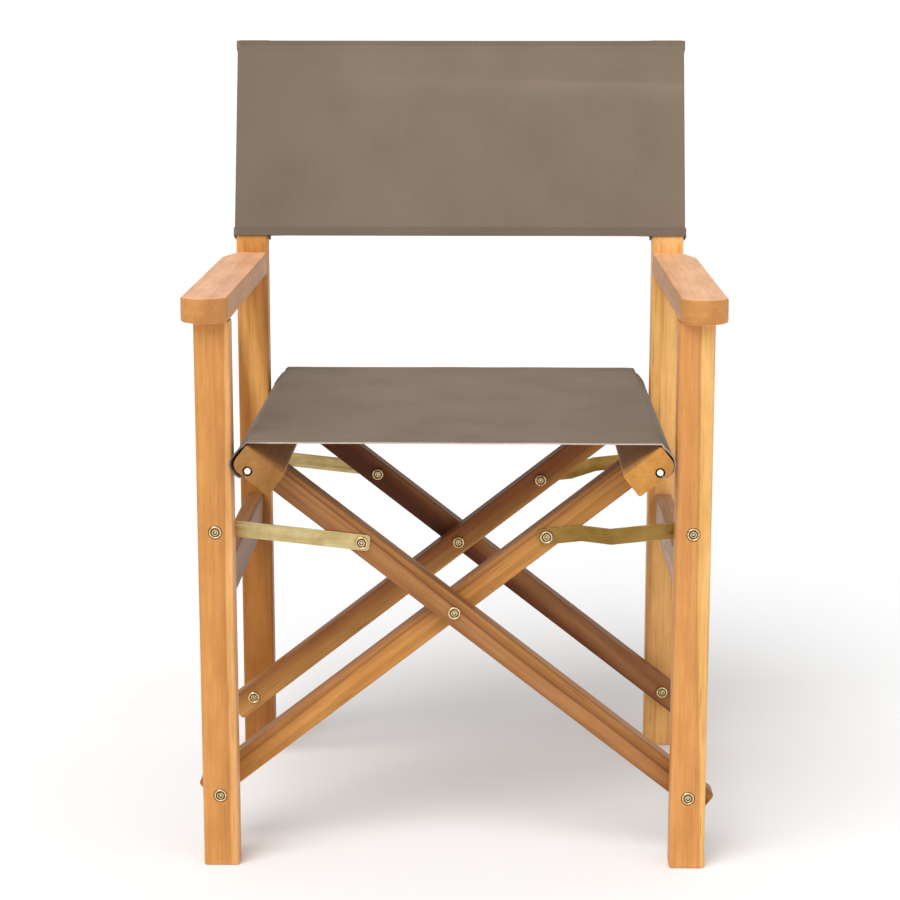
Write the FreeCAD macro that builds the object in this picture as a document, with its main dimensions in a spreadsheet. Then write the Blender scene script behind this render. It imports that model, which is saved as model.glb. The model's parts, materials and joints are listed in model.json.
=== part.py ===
"""Folding director's chair.

Two wooden side frames are joined by crossed bars at the front and at the rear.
Each pair of bars carries a seat rail, and the fabric seat hangs between the two rails.
The rear posts lean back above the arms and carry the fabric back in two sleeves.

+X is across the chair, +Y points to its back and +Z is up.
Left is the -X side and right the +X side, as seen from the front.
The origin is on the floor, under the middle of the whole chair.
Every length is in millimetres and every angle in degrees.
"""
import FreeCAD
import Part
import Sketcher
import os

LEFT = -1
RIGHT = 1
FRONT = 1
REAR = -1
SIDE_NAMES = {LEFT: "left", RIGHT: "right"}
END_NAMES = {FRONT: "front", REAR: "rear"}

SIZES = [
    # Side frames: posts.
    ("post_width", 38),
    ("post_depth", 26),
    ("post_span", 507),
    ("frame_depth", 394),
    ("front_post_height", 600),
    ("back_height", 881),
    ("bend_level", 635),
    ("bend_radius", 55),
    ("back_lean", 16.5),
    ("post_rounding", 3),
    ("foot_rounding", 2),
    # Side frames: arms.
    ("arm_width", 50),
    ("arm_thickness", 27),
    ("arm_outset", 6.5),
    ("arm_nose", 18),
    ("arm_corner_width", 12),
    ("arm_corner_length", 44),
    ("arm_corner_radius", 5),
    ("arm_rounding", 3),
    # Side frames: rails.
    ("side_rail_thickness", 20),
    ("side_rail_height", 44),
    ("side_rail_level", 282),
    ("side_rail_inset", 9.5),
    ("side_rail_rounding", 2),
    # Crossed bars.
    ("bar_width", 29),
    ("bar_thickness", 26),
    ("foot_pivot_level", 80),
    ("centre_pivot_level", 279),
    ("bar_tail", 29.5),
    ("bar_end_radius", 4.5),
    ("bar_rounding", 2),
    # Seat rails.
    ("seat_rail_gap", 0.6),
    ("seat_rail_lift", 5),
    ("seat_rail_width", 50.4),
    ("seat_rail_thickness", 28.4),
    ("seat_rail_length", 472),
    ("seat_rail_overhang", 22.5),
    ("seat_rail_outer_radius", 11),
    ("seat_rail_rounding", 2.5),
    ("groove_radius", 5),
    ("groove_outset", 7.5),
    ("groove_drop", 6.8),
    ("slot_width", 3),
    ("seat_rod_radius", 3.4),
    ("seat_rod_inset", 4),
    # Straps.
    ("strap_width", 17.5),
    ("strap_thickness", 2),
    ("strap_end_radius", 4),
    ("strap_bolt_reach", 126.5),
    ("strap_post_level", 374),
    ("strap_first_bend", 38),
    ("strap_second_bend", 69),
    # Bolts, nuts, washers and spacers.
    ("joint_gap", 0.3),
    ("running_clearance", 0.05),
    ("shank_radius", 3),
    ("head_radius", 7),
    ("head_height", 3),
    ("head_dome", 2.2),
    ("nut_height", 4),
    ("nut_thread", 2),
    ("recess_radius", 7.6),
    ("recess_depth", 2.5),
    ("socket_flats", 5),
    ("socket_depth", 1.4),
    ("washer_radius", 9),
    ("washer_thickness", 2.4),
    ("spacer_radius", 8),
    # Dowels.
    ("arm_dowel_radius", 5),
    ("arm_dowel_length", 44),
    ("arm_dowel_in_post", 28),
    ("arm_dowel_in_rear_post", 15),
    ("side_dowel_radius", 4),
    ("side_dowel_length", 40),
    ("side_dowel_in_post", 15),
    ("side_dowel_spacing", 22),
    ("seat_dowel_radius", 4),
    ("seat_dowel_length", 40),
    ("seat_dowel_lift", 2),
    # Fabric.
    ("sheet_thickness", 1.6),
    ("sheet_clearance", 0.3),
    ("seat_sheet_inset", 2),
    ("back_sheet_level", 647),
    ("back_sheet_drop", 2),
]

PLACES = [
    # Depth: the chair's box is centred on the origin.
    ("upper_post_length", "=(sizes.back_height - sizes.bend_level) / cos(sizes.back_lean)"),
    ("sleeve_reach", "=sizes.sheet_clearance + sizes.sheet_thickness"),
    ("back_sheet_start", "=(sizes.back_sheet_level - sizes.bend_level) / cos(sizes.back_lean)"),
    ("back_sheet_end", "=upper_post_length - sizes.back_sheet_drop"),
    ("rearmost", "=sizes.frame_depth + (sizes.post_depth + sleeve_reach) * cos(sizes.back_lean)"
                 " + back_sheet_end * sin(sizes.back_lean)"),
    ("front_face", "=(sizes.seat_rail_overhang - rearmost) / 2"),
    ("front_inner", "=front_face + sizes.post_depth"),
    ("rear_inner", "=front_face + sizes.frame_depth"),
    # Width.
    ("post_across", "=sizes.post_span / 2"),
    ("arm_across", "=post_across + sizes.arm_outset"),
    ("side_rail_outset", "=sizes.side_rail_inset + (sizes.side_rail_thickness - sizes.post_width) / 2"),
    # Crossed bars, measured from the centre pivot.
    ("bar_rise", "=sizes.centre_pivot_level - sizes.foot_pivot_level"),
    ("bar_angle", "=atan2(bar_rise; post_across)"),
    ("foot_reach", "=sqrt(bar_rise * bar_rise + post_across * post_across)"),
    # Layers, measured from a post's inner face into the chair.
    ("strap_layer", "=sizes.joint_gap"),
    ("outer_bar_layer", "=strap_layer + sizes.strap_thickness + sizes.joint_gap"),
    ("outer_bar_end", "=outer_bar_layer + sizes.bar_thickness"),
    ("washer_layer", "=outer_bar_end + sizes.joint_gap"),
    ("inner_bar_layer", "=washer_layer + sizes.washer_thickness + sizes.joint_gap"),
    ("inner_bar_end", "=inner_bar_layer + sizes.bar_thickness"),
    ("inner_strap_layer", "=inner_bar_layer - sizes.joint_gap - sizes.strap_thickness"),
    # Seat rails: a rail's outer corner, before its rounding, clears the posts by a gap.
    ("seat_rail_half_across", "=sizes.seat_rail_width / 2 * cos(bar_angle)"
                              " + sizes.seat_rail_thickness / 2 * sin(bar_angle)"),
    ("seat_rail_across", "=post_across - sizes.post_width / 2 - sizes.seat_rail_gap - seat_rail_half_across"),
    ("seat_rail_reach", "=(seat_rail_across + sizes.seat_rail_lift * sin(bar_angle)) / cos(bar_angle)"),
    ("seat_rail_up", "=sizes.centre_pivot_level + seat_rail_reach * sin(bar_angle)"
                     " + sizes.seat_rail_lift * cos(bar_angle)"),
    ("bar_top", "=seat_rail_reach - sizes.seat_rail_width / 2"),
    ("wrap_inner_bend", "=(sizes.seat_rail_outer_radius + sizes.sheet_clearance) * tan(90 / 4)"),
    ("wrap_outer_bend", "=(sizes.seat_rail_outer_radius + sleeve_reach) * tan(90 / 4)"),
    ("seat_rail_back", "=front_face - sizes.seat_rail_overhang + sizes.seat_rail_length / 2"),
    ("groove_across", "=seat_rail_across + sizes.groove_outset * cos(bar_angle)"
                      " + sizes.groove_drop * sin(bar_angle)"),
    ("groove_up", "=seat_rail_up + sizes.groove_outset * sin(bar_angle)"
                  " - sizes.groove_drop * cos(bar_angle)"),
    # Highest corner of a seat rail, which carries the flat of the seat.
    ("crest_across", "=seat_rail_across + sizes.seat_rail_width / 2 * cos(bar_angle)"
                     " - sizes.seat_rail_thickness / 2 * sin(bar_angle)"),
    ("crest_up", "=seat_rail_up + sizes.seat_rail_width / 2 * sin(bar_angle)"
                 " + sizes.seat_rail_thickness / 2 * cos(bar_angle)"),
    # Straps.
    ("strap_bolt_across", "=sizes.strap_bolt_reach * cos(bar_angle)"),
    ("strap_bolt_up", "=sizes.centre_pivot_level + sizes.strap_bolt_reach * sin(bar_angle)"),
    ("strap_run", "=post_across - strap_bolt_across"),
    ("strap_rise", "=sizes.strap_post_level - strap_bolt_up"),
    ("strap_length", "=sqrt(strap_run * strap_run + strap_rise * strap_rise)"),
    ("strap_angle", "=atan2(strap_rise; strap_run)"),
    ("strap_joggle", "=inner_strap_layer - strap_layer"),
    ("strap_slope", "=atan2(strap_joggle; sizes.strap_second_bend - sizes.strap_first_bend)"),
    ("strap_mitre", "=sizes.strap_thickness * tan(strap_slope / 2)"),
    # Fasteners.
    ("bore_radius", "=sizes.shank_radius + sizes.running_clearance"),
    ("arm_dowel_level", "=sizes.front_post_height + sizes.arm_thickness / 2"),
    ("side_dowel_level", "=sizes.side_rail_level + sizes.side_rail_height / 2"),
]

doc = FreeCAD.newDocument("FoldingChair")
parts = []


# ---------------------------------------------------------------- sheets and placing

def add_sheet(name, entries):
    """Spreadsheet with one named cell for each entry."""
    sheet = doc.addObject("Spreadsheet::Sheet", name)
    for row, (alias, content) in enumerate(entries, 1):
        sheet.set(f"A{row}", str(content))
        sheet.setAlias(f"A{row}", alias)


def place(part, across, back, up, axis=(0, 0, 1), turn="0"):
    """Place a part's own origin, turned about an axis, by expressions."""
    spot = f"vector({across}; {back}; {up})"
    spin = f"rotation(vector({axis[0]}; {axis[1]}; {axis[2]}); {turn})"
    part.setExpression("Placement", f"placement({spot}; {spin})")


def keep(part):
    """Mark a finished sub-part for export."""
    parts.append(part)
    return part


def layer_place(part, end, across, layer, up):
    """Place a part whose own +Y points into the chair from a post's inner face."""
    inner = "places.front_inner" if end == FRONT else "places.rear_inner"
    turn = "0" if end == FRONT else "180"
    place(part, across, f"{inner} + {end} * ({layer})", up, turn=turn)


def group(label, members):
    """Like pieces of one body as one sub-part of separate solids."""
    compound = doc.addObject("Part::Compound", label)
    compound.Links = members
    return keep(compound)


# ---------------------------------------------------------------- sketches

def add_body(label):
    return doc.addObject("PartDesign::Body", label)


def add_sketch(body, role, offset="0"):
    """Sketch on one of the body's own origin planes, shifted along its normal."""
    sketch = body.newObject("Sketcher::SketchObject", "Sketch")
    plane = next(item for item in body.Origin.OriginFeatures if item.Role == role)
    sketch.AttachmentSupport = [(plane, "")]
    sketch.MapMode = "FlatFace"
    sketch.setExpression("AttachmentOffset.Base.z", offset)
    return sketch


def number_of(sketch, expression):
    """An expression's value now, without its unit."""
    value = sketch.evalExpression(expression)
    return float(getattr(value, "Value", value))


def point_of(sketch, corner):
    return FreeCAD.Vector(number_of(sketch, corner[0]), number_of(sketch, corner[1]), 0)


def hold(sketch, kind, *where, at):
    """Constraint whose size is an expression."""
    number = sketch.addConstraint(Sketcher.Constraint(kind, *where, number_of(sketch, at)))
    sketch.setExpression(f"Constraints[{number}]", at)


def hold_point(sketch, edge, end, corner):
    hold(sketch, "DistanceX", -1, 1, edge, end, at=corner[0])
    hold(sketch, "DistanceY", -1, 1, edge, end, at=corner[1])


def draw_outline(sketch, corners):
    """Closed outline of straight edges through corners given as pairs of expressions."""
    points = [point_of(sketch, corner) for corner in corners]
    first = sketch.GeometryCount
    for start, end in zip(points, points[1:] + points[:1]):
        sketch.addGeometry(Part.LineSegment(start, end))
    for number, corner in enumerate(corners):
        following = first + (number + 1) % len(corners)
        sketch.addConstraint(Sketcher.Constraint("Coincident", first + number, 2, following, 1))
        hold_point(sketch, first + number, 1, corner)


def draw_box(sketch, left, right, low, high):
    draw_outline(sketch, [(left, low), (right, low), (right, high), (left, high)])


def draw_circle(sketch, centre, radius):
    edge = sketch.addGeometry(Part.Circle(point_of(sketch, centre), FreeCAD.Vector(0, 0, 1),
                                          number_of(sketch, radius)))
    hold_point(sketch, edge, 3, centre)
    hold(sketch, "Radius", edge, at=radius)


def draw_hexagon(sketch, flats):
    draw_outline(sketch, [(f"{flats} / sqrt(3) * cos({60 * corner})", f"{flats} / sqrt(3) * sin({60 * corner})")
                          for corner in range(6)])


# ---------------------------------------------------------------- features

def add_pad(body, sketch, length, symmetric=False, backwards=False):
    pad = body.newObject("PartDesign::Pad", "Pad")
    pad.Profile = sketch
    if symmetric:
        pad.SideType = "Symmetric"
    pad.Reversed = backwards
    pad.setExpression("Length", length)
    return pad


def add_pocket(body, sketch, depth=None, backwards=False):
    """Pocket of a given depth, or right through both ways, that is sure to cut."""
    doc.recompute()
    volume = body.Shape.Volume
    pocket = body.newObject("PartDesign::Pocket", "Pocket")
    pocket.Profile = sketch
    if depth is None:
        pocket.Type = "ThroughAll"
        pocket.SideType = "Symmetric"
    else:
        pocket.Reversed = backwards
        pocket.setExpression("Length", depth)
    doc.recompute()
    if body.Shape.Volume > volume - 1:
        raise RuntimeError(f"a pocket of {body.Label} cuts nothing")


def bore_holes(body, role, centres, radius, depth=None, offset="0", backwards=False):
    """Round holes, right through or of a given depth."""
    sketch = add_sketch(body, role, offset)
    for centre in centres:
        draw_circle(sketch, centre, radius)
    add_pocket(body, sketch, depth, backwards)


def round_edges(body, radius, wanted):
    """Fillet the edges that a test picks from the body's present shape."""
    doc.recompute()
    base = body.Tip
    edges = [f"Edge{number}" for number, edge in enumerate(base.Shape.Edges, 1) if wanted(edge)]
    fillet = body.newObject("PartDesign::Fillet", "Fillet")
    fillet.Base = (base, edges)
    fillet.setExpression("Radius", radius)


def runs_along(edge, axis):
    """Whether a straight edge runs along an axis."""
    if not isinstance(edge.Curve, Part.Line):
        return False
    return abs(edge.Curve.Direction.dot(axis)) > 0.999


ACROSS = FreeCAD.Vector(1, 0, 0)
BACK = FreeCAD.Vector(0, 1, 0)
UP = FreeCAD.Vector(0, 0, 1)


# ---------------------------------------------------------------- side frames

def front_post(side):
    """Upright under the arm. Its own origin is on the floor, in the middle of its section."""
    post = add_body(f"front_post_{SIDE_NAMES[side]}")
    section = add_sketch(post, "XY_Plane")
    draw_box(section, "-sizes.post_width / 2", "sizes.post_width / 2",
             "-sizes.post_depth / 2", "sizes.post_depth / 2")
    add_pad(post, section, "sizes.front_post_height")
    round_edges(post, "sizes.post_rounding", lambda edge: runs_along(edge, UP))
    round_edges(post, "sizes.foot_rounding", lambda edge: edge.BoundBox.ZMax < 0.01)
    levels = [("0", "sizes.foot_pivot_level"), ("0", "sizes.strap_post_level")]
    bore_holes(post, "XZ_Plane", levels, "places.bore_radius")
    bore_holes(post, "XZ_Plane", levels, "sizes.recess_radius", "sizes.recess_depth",
               offset="sizes.post_depth / 2")
    bore_holes(post, "XY_Plane", [("0", "0")], "sizes.arm_dowel_radius", "sizes.arm_dowel_in_post",
               offset="sizes.front_post_height")
    bore_holes(post, "XZ_Plane", side_dowel_spots(side), "sizes.side_dowel_radius",
               "sizes.side_dowel_in_post", offset="-sizes.post_depth / 2", backwards=True)
    place(post, f"{side} * places.post_across", "places.front_face + sizes.post_depth / 2", "0")
    return keep(post)


def side_dowel_spots(side):
    """Where a side rail's two dowels enter a post, from the post's middle line."""
    across = f"{side} * places.side_rail_outset"
    return [(across, f"places.side_dowel_level + {way} * sizes.side_dowel_spacing / 2")
            for way in (-1, 1)]


def rear_post(side):
    """Upright that leans back above the arm. Its own origin is on the floor, at its front face."""
    post = add_body(f"rear_post_{SIDE_NAMES[side]}")
    profile = add_sketch(post, "YZ_Plane")
    lean = "sizes.back_lean"
    top_back = f"places.upper_post_length * sin({lean})"
    draw_outline(profile, [
        ("0", "0"),
        ("sizes.post_depth", "0"),
        ("sizes.post_depth", f"sizes.bend_level - sizes.post_depth * tan({lean} / 2)"),
        (f"{top_back} + sizes.post_depth * cos({lean})", f"sizes.back_height - sizes.post_depth * sin({lean})"),
        (top_back, "sizes.back_height"),
        ("0", "sizes.bend_level"),
    ])
    add_pad(post, profile, "sizes.post_width", symmetric=True)
    bend = number_of(post, "sizes.bend_level")
    depth = number_of(post, "sizes.post_depth")
    top = number_of(post, "sizes.back_height")
    round_edges(post, "sizes.bend_radius",
                lambda edge: runs_along(edge, ACROSS) and bend - depth < edge.BoundBox.ZMin < bend + 1)
    round_edges(post, "sizes.post_rounding",
                lambda edge: not runs_along(edge, ACROSS) and 1 < edge.CenterOfMass.z < top - depth)
    round_edges(post, "sizes.foot_rounding", lambda edge: edge.BoundBox.ZMax < 0.01)
    levels = [("0", "sizes.foot_pivot_level"), ("0", "sizes.strap_post_level")]
    bore_holes(post, "XZ_Plane", levels, "places.bore_radius")
    bore_holes(post, "XZ_Plane", levels, "sizes.recess_radius", "sizes.recess_depth",
               offset="-sizes.post_depth", backwards=True)
    bore_holes(post, "XZ_Plane", [("0", "places.arm_dowel_level")], "sizes.arm_dowel_radius",
               "sizes.arm_dowel_in_rear_post")
    bore_holes(post, "XZ_Plane", side_dowel_spots(side), "sizes.side_dowel_radius",
               "sizes.side_dowel_in_post")
    place(post, f"{side} * places.post_across", "places.rear_inner", "0")
    return keep(post)


def armrest(side):
    """Arm with a rounded nose. Its own origin is under its middle, in line with the front faces."""
    arm = add_body(f"armrest_{SIDE_NAMES[side]}")
    outline = add_sketch(arm, "XY_Plane")
    half = "sizes.arm_width / 2"
    length = "sizes.frame_depth"
    corners = [
        (f"{-side} * {half}", "0"),
        (f"{-side} * {half}", length),
        (f"{side} * ({half} - sizes.arm_corner_width)", length),
        (f"{side} * {half}", f"{length} - sizes.arm_corner_length"),
        (f"{side} * {half}", "0"),
    ]
    points = [point_of(outline, corner) for corner in corners]
    for start, end in zip(points, points[1:]):
        outline.addGeometry(Part.LineSegment(start, end))
    for number, corner in enumerate(corners[:-1]):
        if number:
            outline.addConstraint(Sketcher.Constraint("Coincident", number - 1, 2, number, 1))
        hold_point(outline, number, 1, corner)
    last = len(corners) - 2
    hold_point(outline, last, 2, corners[-1])
    tip = FreeCAD.Vector(0, -number_of(outline, "sizes.arm_nose"), 0)
    nose = outline.addGeometry(Part.Arc(points[-1], tip, points[0]))
    ends = [(last, 2), (0, 1)]
    for end, nose_end in zip(ends, (1, 2) if side == LEFT else (2, 1)):
        outline.addConstraint(Sketcher.Constraint("Coincident", *end, nose, nose_end))
    hold(outline, "DistanceY", -1, 1, nose, 3,
         at=f"({half} * {half} - sizes.arm_nose * sizes.arm_nose) / (2 * sizes.arm_nose)")
    add_pad(arm, outline, "sizes.arm_thickness")
    far = number_of(arm, length) - 0.01
    round_edges(arm, "sizes.arm_corner_radius",
                lambda edge: runs_along(edge, UP) and edge.BoundBox.YMax < 1)
    round_edges(arm, "sizes.arm_rounding",
                lambda edge: not runs_along(edge, UP) and edge.BoundBox.YMin < far)
    dowel_across = f"{-side} * sizes.arm_outset"
    bore_holes(arm, "XY_Plane", [(dowel_across, "sizes.post_depth / 2")], "sizes.arm_dowel_radius",
               "sizes.arm_dowel_length - sizes.arm_dowel_in_post", backwards=True)
    bore_holes(arm, "XZ_Plane", [(dowel_across, "sizes.arm_thickness / 2")], "sizes.arm_dowel_radius",
               "sizes.arm_dowel_length - sizes.arm_dowel_in_rear_post", offset=f"-{length}", backwards=True)
    place(arm, f"{side} * places.arm_across", "places.front_face", "sizes.front_post_height")
    return keep(arm)


def side_rail(side):
    """Rail between a front and a rear post, set in from their inner faces."""
    rail = add_body(f"side_rail_{SIDE_NAMES[side]}")
    length = "(places.rear_inner - places.front_inner)"
    section = add_sketch(rail, "XZ_Plane")
    draw_box(section, "-sizes.side_rail_thickness / 2", "sizes.side_rail_thickness / 2",
             "-sizes.side_rail_height / 2", "sizes.side_rail_height / 2")
    add_pad(rail, section, length, symmetric=True)
    round_edges(rail, "sizes.side_rail_rounding", lambda edge: runs_along(edge, BACK))
    spots = [("0", f"{way} * sizes.side_dowel_spacing / 2") for way in (-1, 1)]
    depth = "sizes.side_dowel_length - sizes.side_dowel_in_post"
    bore_holes(rail, "XZ_Plane", spots, "sizes.side_dowel_radius", depth, offset=f"{length} / 2")
    bore_holes(rail, "XZ_Plane", spots, "sizes.side_dowel_radius", depth, offset=f"-{length} / 2",
               backwards=True)
    place(rail, f"{side} * (places.post_across + places.side_rail_outset)",
          "(places.front_inner + places.rear_inner) / 2", "places.side_dowel_level")
    return keep(rail)


# ---------------------------------------------------------------- crossed bars and seat rails
# The outer bars rise to the left seat rail, the inner bars to the right one.
# A bar's own +X runs up along it from the centre pivot.

RISES_LEFT = LEFT
RISES_RIGHT = RIGHT


def bar_turn(rise):
    """Turn about -Y that lays a bar's own +X along it."""
    return "places.bar_angle" if rise == RISES_RIGHT else "180 deg - places.bar_angle"


def bar_middle(end, rise):
    """Where the middle of a bar's thickness is, front to back."""
    layer = "places.inner_bar_layer" if rise == RISES_RIGHT else "places.outer_bar_layer"
    inner = "places.front_inner" if end == FRONT else "places.rear_inner"
    return f"{inner} + {end} * ({layer} + sizes.bar_thickness / 2)"


def cross_bar(end, rise):
    name = "inner" if rise == RISES_RIGHT else "outer"
    bar = add_body(f"cross_bar_{END_NAMES[end]}_{name}")
    foot = "-places.foot_reach - sizes.bar_tail"
    outline = add_sketch(bar, "XZ_Plane")
    draw_box(outline, foot, "places.bar_top", "-sizes.bar_width / 2", "sizes.bar_width / 2")
    add_pad(bar, outline, "sizes.bar_thickness", symmetric=True)
    tip = number_of(bar, foot)
    top = number_of(bar, "places.bar_top")
    round_edges(bar, "sizes.bar_end_radius",
                lambda edge: runs_along(edge, BACK) and edge.BoundBox.XMax < tip + 0.01)
    round_edges(bar, "sizes.bar_rounding",
                lambda edge: not runs_along(edge, BACK) and edge.BoundBox.XMin < top - 0.01)
    spots = [("-places.foot_reach", "0"), ("0", "0"), ("sizes.strap_bolt_reach", "0")]
    bore_holes(bar, "XZ_Plane", spots, "places.bore_radius")
    bore_holes(bar, "YZ_Plane", [("0", f"{rise} * sizes.seat_dowel_lift")], "sizes.seat_dowel_radius",
               "sizes.seat_dowel_length / 2", offset="places.bar_top")
    place(bar, "0", bar_middle(end, rise), "sizes.centre_pivot_level", (0, -1, 0), bar_turn(rise))
    return keep(bar)


def seat_rail(rise):
    """Board across the bars' upper ends, with a keyhole groove for the seat's hem and rod."""
    rail = add_body(f"seat_rail_{SIDE_NAMES[rise]}")
    section = add_sketch(rail, "XZ_Plane")
    draw_box(section, "-sizes.seat_rail_width / 2", "sizes.seat_rail_width / 2",
             "-sizes.seat_rail_thickness / 2", "sizes.seat_rail_thickness / 2")
    add_pad(rail, section, "sizes.seat_rail_length", symmetric=True)
    round_edges(rail, "sizes.seat_rail_outer_radius",
                lambda edge: runs_along(edge, BACK) and edge.BoundBox.XMin > 0
                and rise * edge.BoundBox.ZMin < 0)
    round_edges(rail, "sizes.seat_rail_rounding",
                lambda edge: runs_along(edge, BACK) and not (edge.BoundBox.XMin > 0
                                                             and rise * edge.BoundBox.ZMin < 0))
    groove = ("sizes.groove_outset", f"{-rise} * sizes.groove_drop")
    bore_holes(rail, "XZ_Plane", [groove], "sizes.groove_radius")
    slot = add_sketch(rail, "XZ_Plane")
    draw_box(slot, "sizes.groove_outset - sizes.slot_width / 2", "sizes.groove_outset + sizes.slot_width / 2",
             f"{-rise} * sizes.groove_drop", f"{-rise} * (sizes.seat_rail_thickness / 2 + 1)")
    add_pocket(rail, slot)
    spots = [(f"{bar_middle(end, rise)} - places.seat_rail_back",
              f"{rise} * (sizes.seat_dowel_lift - sizes.seat_rail_lift)") for end in (FRONT, REAR)]
    bore_holes(rail, "YZ_Plane", spots, "sizes.seat_dowel_radius", "sizes.seat_dowel_length / 2",
               offset="-sizes.seat_rail_width / 2", backwards=True)
    place(rail, f"{rise} * places.seat_rail_across", "places.seat_rail_back", "places.seat_rail_up",
          (0, -1, 0), bar_turn(rise))
    return keep(rail)


def seat_rod(rise):
    """Rod that locks the seat's hem in the groove."""
    rod = doc.addObject("Part::Cylinder", f"seat_rod_{SIDE_NAMES[rise]}")
    length = "(sizes.seat_rail_length - 2 * sizes.seat_rod_inset)"
    rod.setExpression("Radius", "sizes.seat_rod_radius")
    rod.setExpression("Height", length)
    place(rod, f"{rise} * places.groove_across", f"places.seat_rail_back + {length} / 2",
          "places.groove_up", (1, 0, 0), "90")
    return keep(rod)


# ---------------------------------------------------------------- straps

def strap(end, side):
    """Flat link from a bar to a post; the right one steps from the inner bar to the post.

    Its own origin is at the bar's bolt, on the face nearest the post, and +X runs to the post.
    """
    link = add_body(f"strap_{END_NAMES[end]}_{SIDE_NAMES[side]}")
    near = "-sizes.strap_width / 2"
    far = "places.strap_length + sizes.strap_width / 2"
    face = "0"
    back = f"{end} * sizes.strap_thickness"
    plan = add_sketch(link, "XY_Plane")
    if side == LEFT:
        draw_box(plan, near, far, face, back)
    else:
        step = f"{end} * places.strap_joggle"
        draw_outline(plan, [
            (near, step),
            ("sizes.strap_first_bend - places.strap_mitre", step),
            ("sizes.strap_second_bend - places.strap_mitre", face),
            (far, face),
            (far, back),
            ("sizes.strap_second_bend", back),
            ("sizes.strap_first_bend", f"{step} + {back}"),
            (near, f"{step} + {back}"),
        ])
    add_pad(link, plan, "sizes.strap_width", symmetric=True)
    low = number_of(link, near) + 0.01
    high = number_of(link, far) - 0.01
    round_edges(link, "sizes.strap_end_radius",
                lambda edge: runs_along(edge, BACK)
                and (edge.BoundBox.XMax < low or edge.BoundBox.XMin > high))
    bore_holes(link, "XZ_Plane", [("0", "0"), ("places.strap_length", "0")], "places.bore_radius")
    inner = "places.front_inner" if end == FRONT else "places.rear_inner"
    turn = "places.strap_angle" if side == RIGHT else "180 deg - places.strap_angle"
    place(link, f"{side} * places.strap_bolt_across", f"{inner} + {end} * places.strap_layer",
          "places.strap_bolt_up", (0, -1, 0), turn)
    return keep(link)


# ---------------------------------------------------------------- bolts, nuts, washers and spacers
# Their own +Y points into the chair, and their own origin is on the bearing face.

def bolt(name, length):
    """Domed bolt with a hexagon socket; the shank runs into the chair."""
    body = add_body(name)
    head = add_sketch(body, "XZ_Plane")
    draw_circle(head, ("0", "0"), "sizes.head_radius")
    add_pad(body, head, "sizes.head_height")
    round_edges(body, "sizes.head_dome", lambda edge: edge.BoundBox.YMax < -0.01)
    shank = add_sketch(body, "XZ_Plane")
    draw_circle(shank, ("0", "0"), "sizes.shank_radius")
    add_pad(body, shank, length, backwards=True)
    socket = add_sketch(body, "XZ_Plane", "sizes.head_height")
    draw_hexagon(socket, "sizes.socket_flats")
    add_pocket(body, socket, "sizes.socket_depth")
    return body


def nut(name, stud=None):
    """Domed barrel nut with a hexagon socket; a riveted one has a stud in place of its thread."""
    body = add_body(name)
    disc = add_sketch(body, "XZ_Plane")
    draw_circle(disc, ("0", "0"), "sizes.head_radius")
    add_pad(body, disc, "sizes.nut_height", backwards=True)
    round_edges(body, "sizes.head_dome", lambda edge: edge.BoundBox.YMin > 0.01)
    socket = add_sketch(body, "XZ_Plane", "-sizes.nut_height")
    draw_hexagon(socket, "sizes.socket_flats")
    add_pocket(body, socket, "sizes.socket_depth", backwards=True)
    if stud is None:
        bore_holes(body, "XZ_Plane", [("0", "0")], "places.bore_radius", "sizes.nut_thread", backwards=False)
    else:
        stem = add_sketch(body, "XZ_Plane")
        draw_circle(stem, ("0", "0"), "sizes.shank_radius")
        add_pad(body, stem, stud)
    return body


def ring(name, radius, length):
    body = add_body(name)
    section = add_sketch(body, "XZ_Plane")
    draw_circle(section, ("0", "0"), radius)
    draw_circle(section, ("0", "0"), "places.bore_radius")
    add_pad(body, section, length, backwards=True)
    return body


def front_and_rear(label, make, across, layer, up):
    """The same fastener at the chair's front and rear, as one sub-part."""
    members = []
    for end in (FRONT, REAR):
        member = make(f"{label}_{END_NAMES[end]}")
        layer_place(member, end, across, layer, up)
        members.append(member)
    group(label, members)


def bolts_and_nuts(place_name, across, up, head_layer, nut_layer):
    """Bolts and nuts whose bearing faces lie at two layers."""
    length = f"{nut_layer} + sizes.nut_thread - ({head_layer})"
    front_and_rear(f"{place_name[0]}_bolts{place_name[1]}", lambda name: bolt(name, length), across,
                   head_layer, up)
    front_and_rear(f"{place_name[0]}_nuts{place_name[1]}", nut, across, nut_layer, up)


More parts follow.
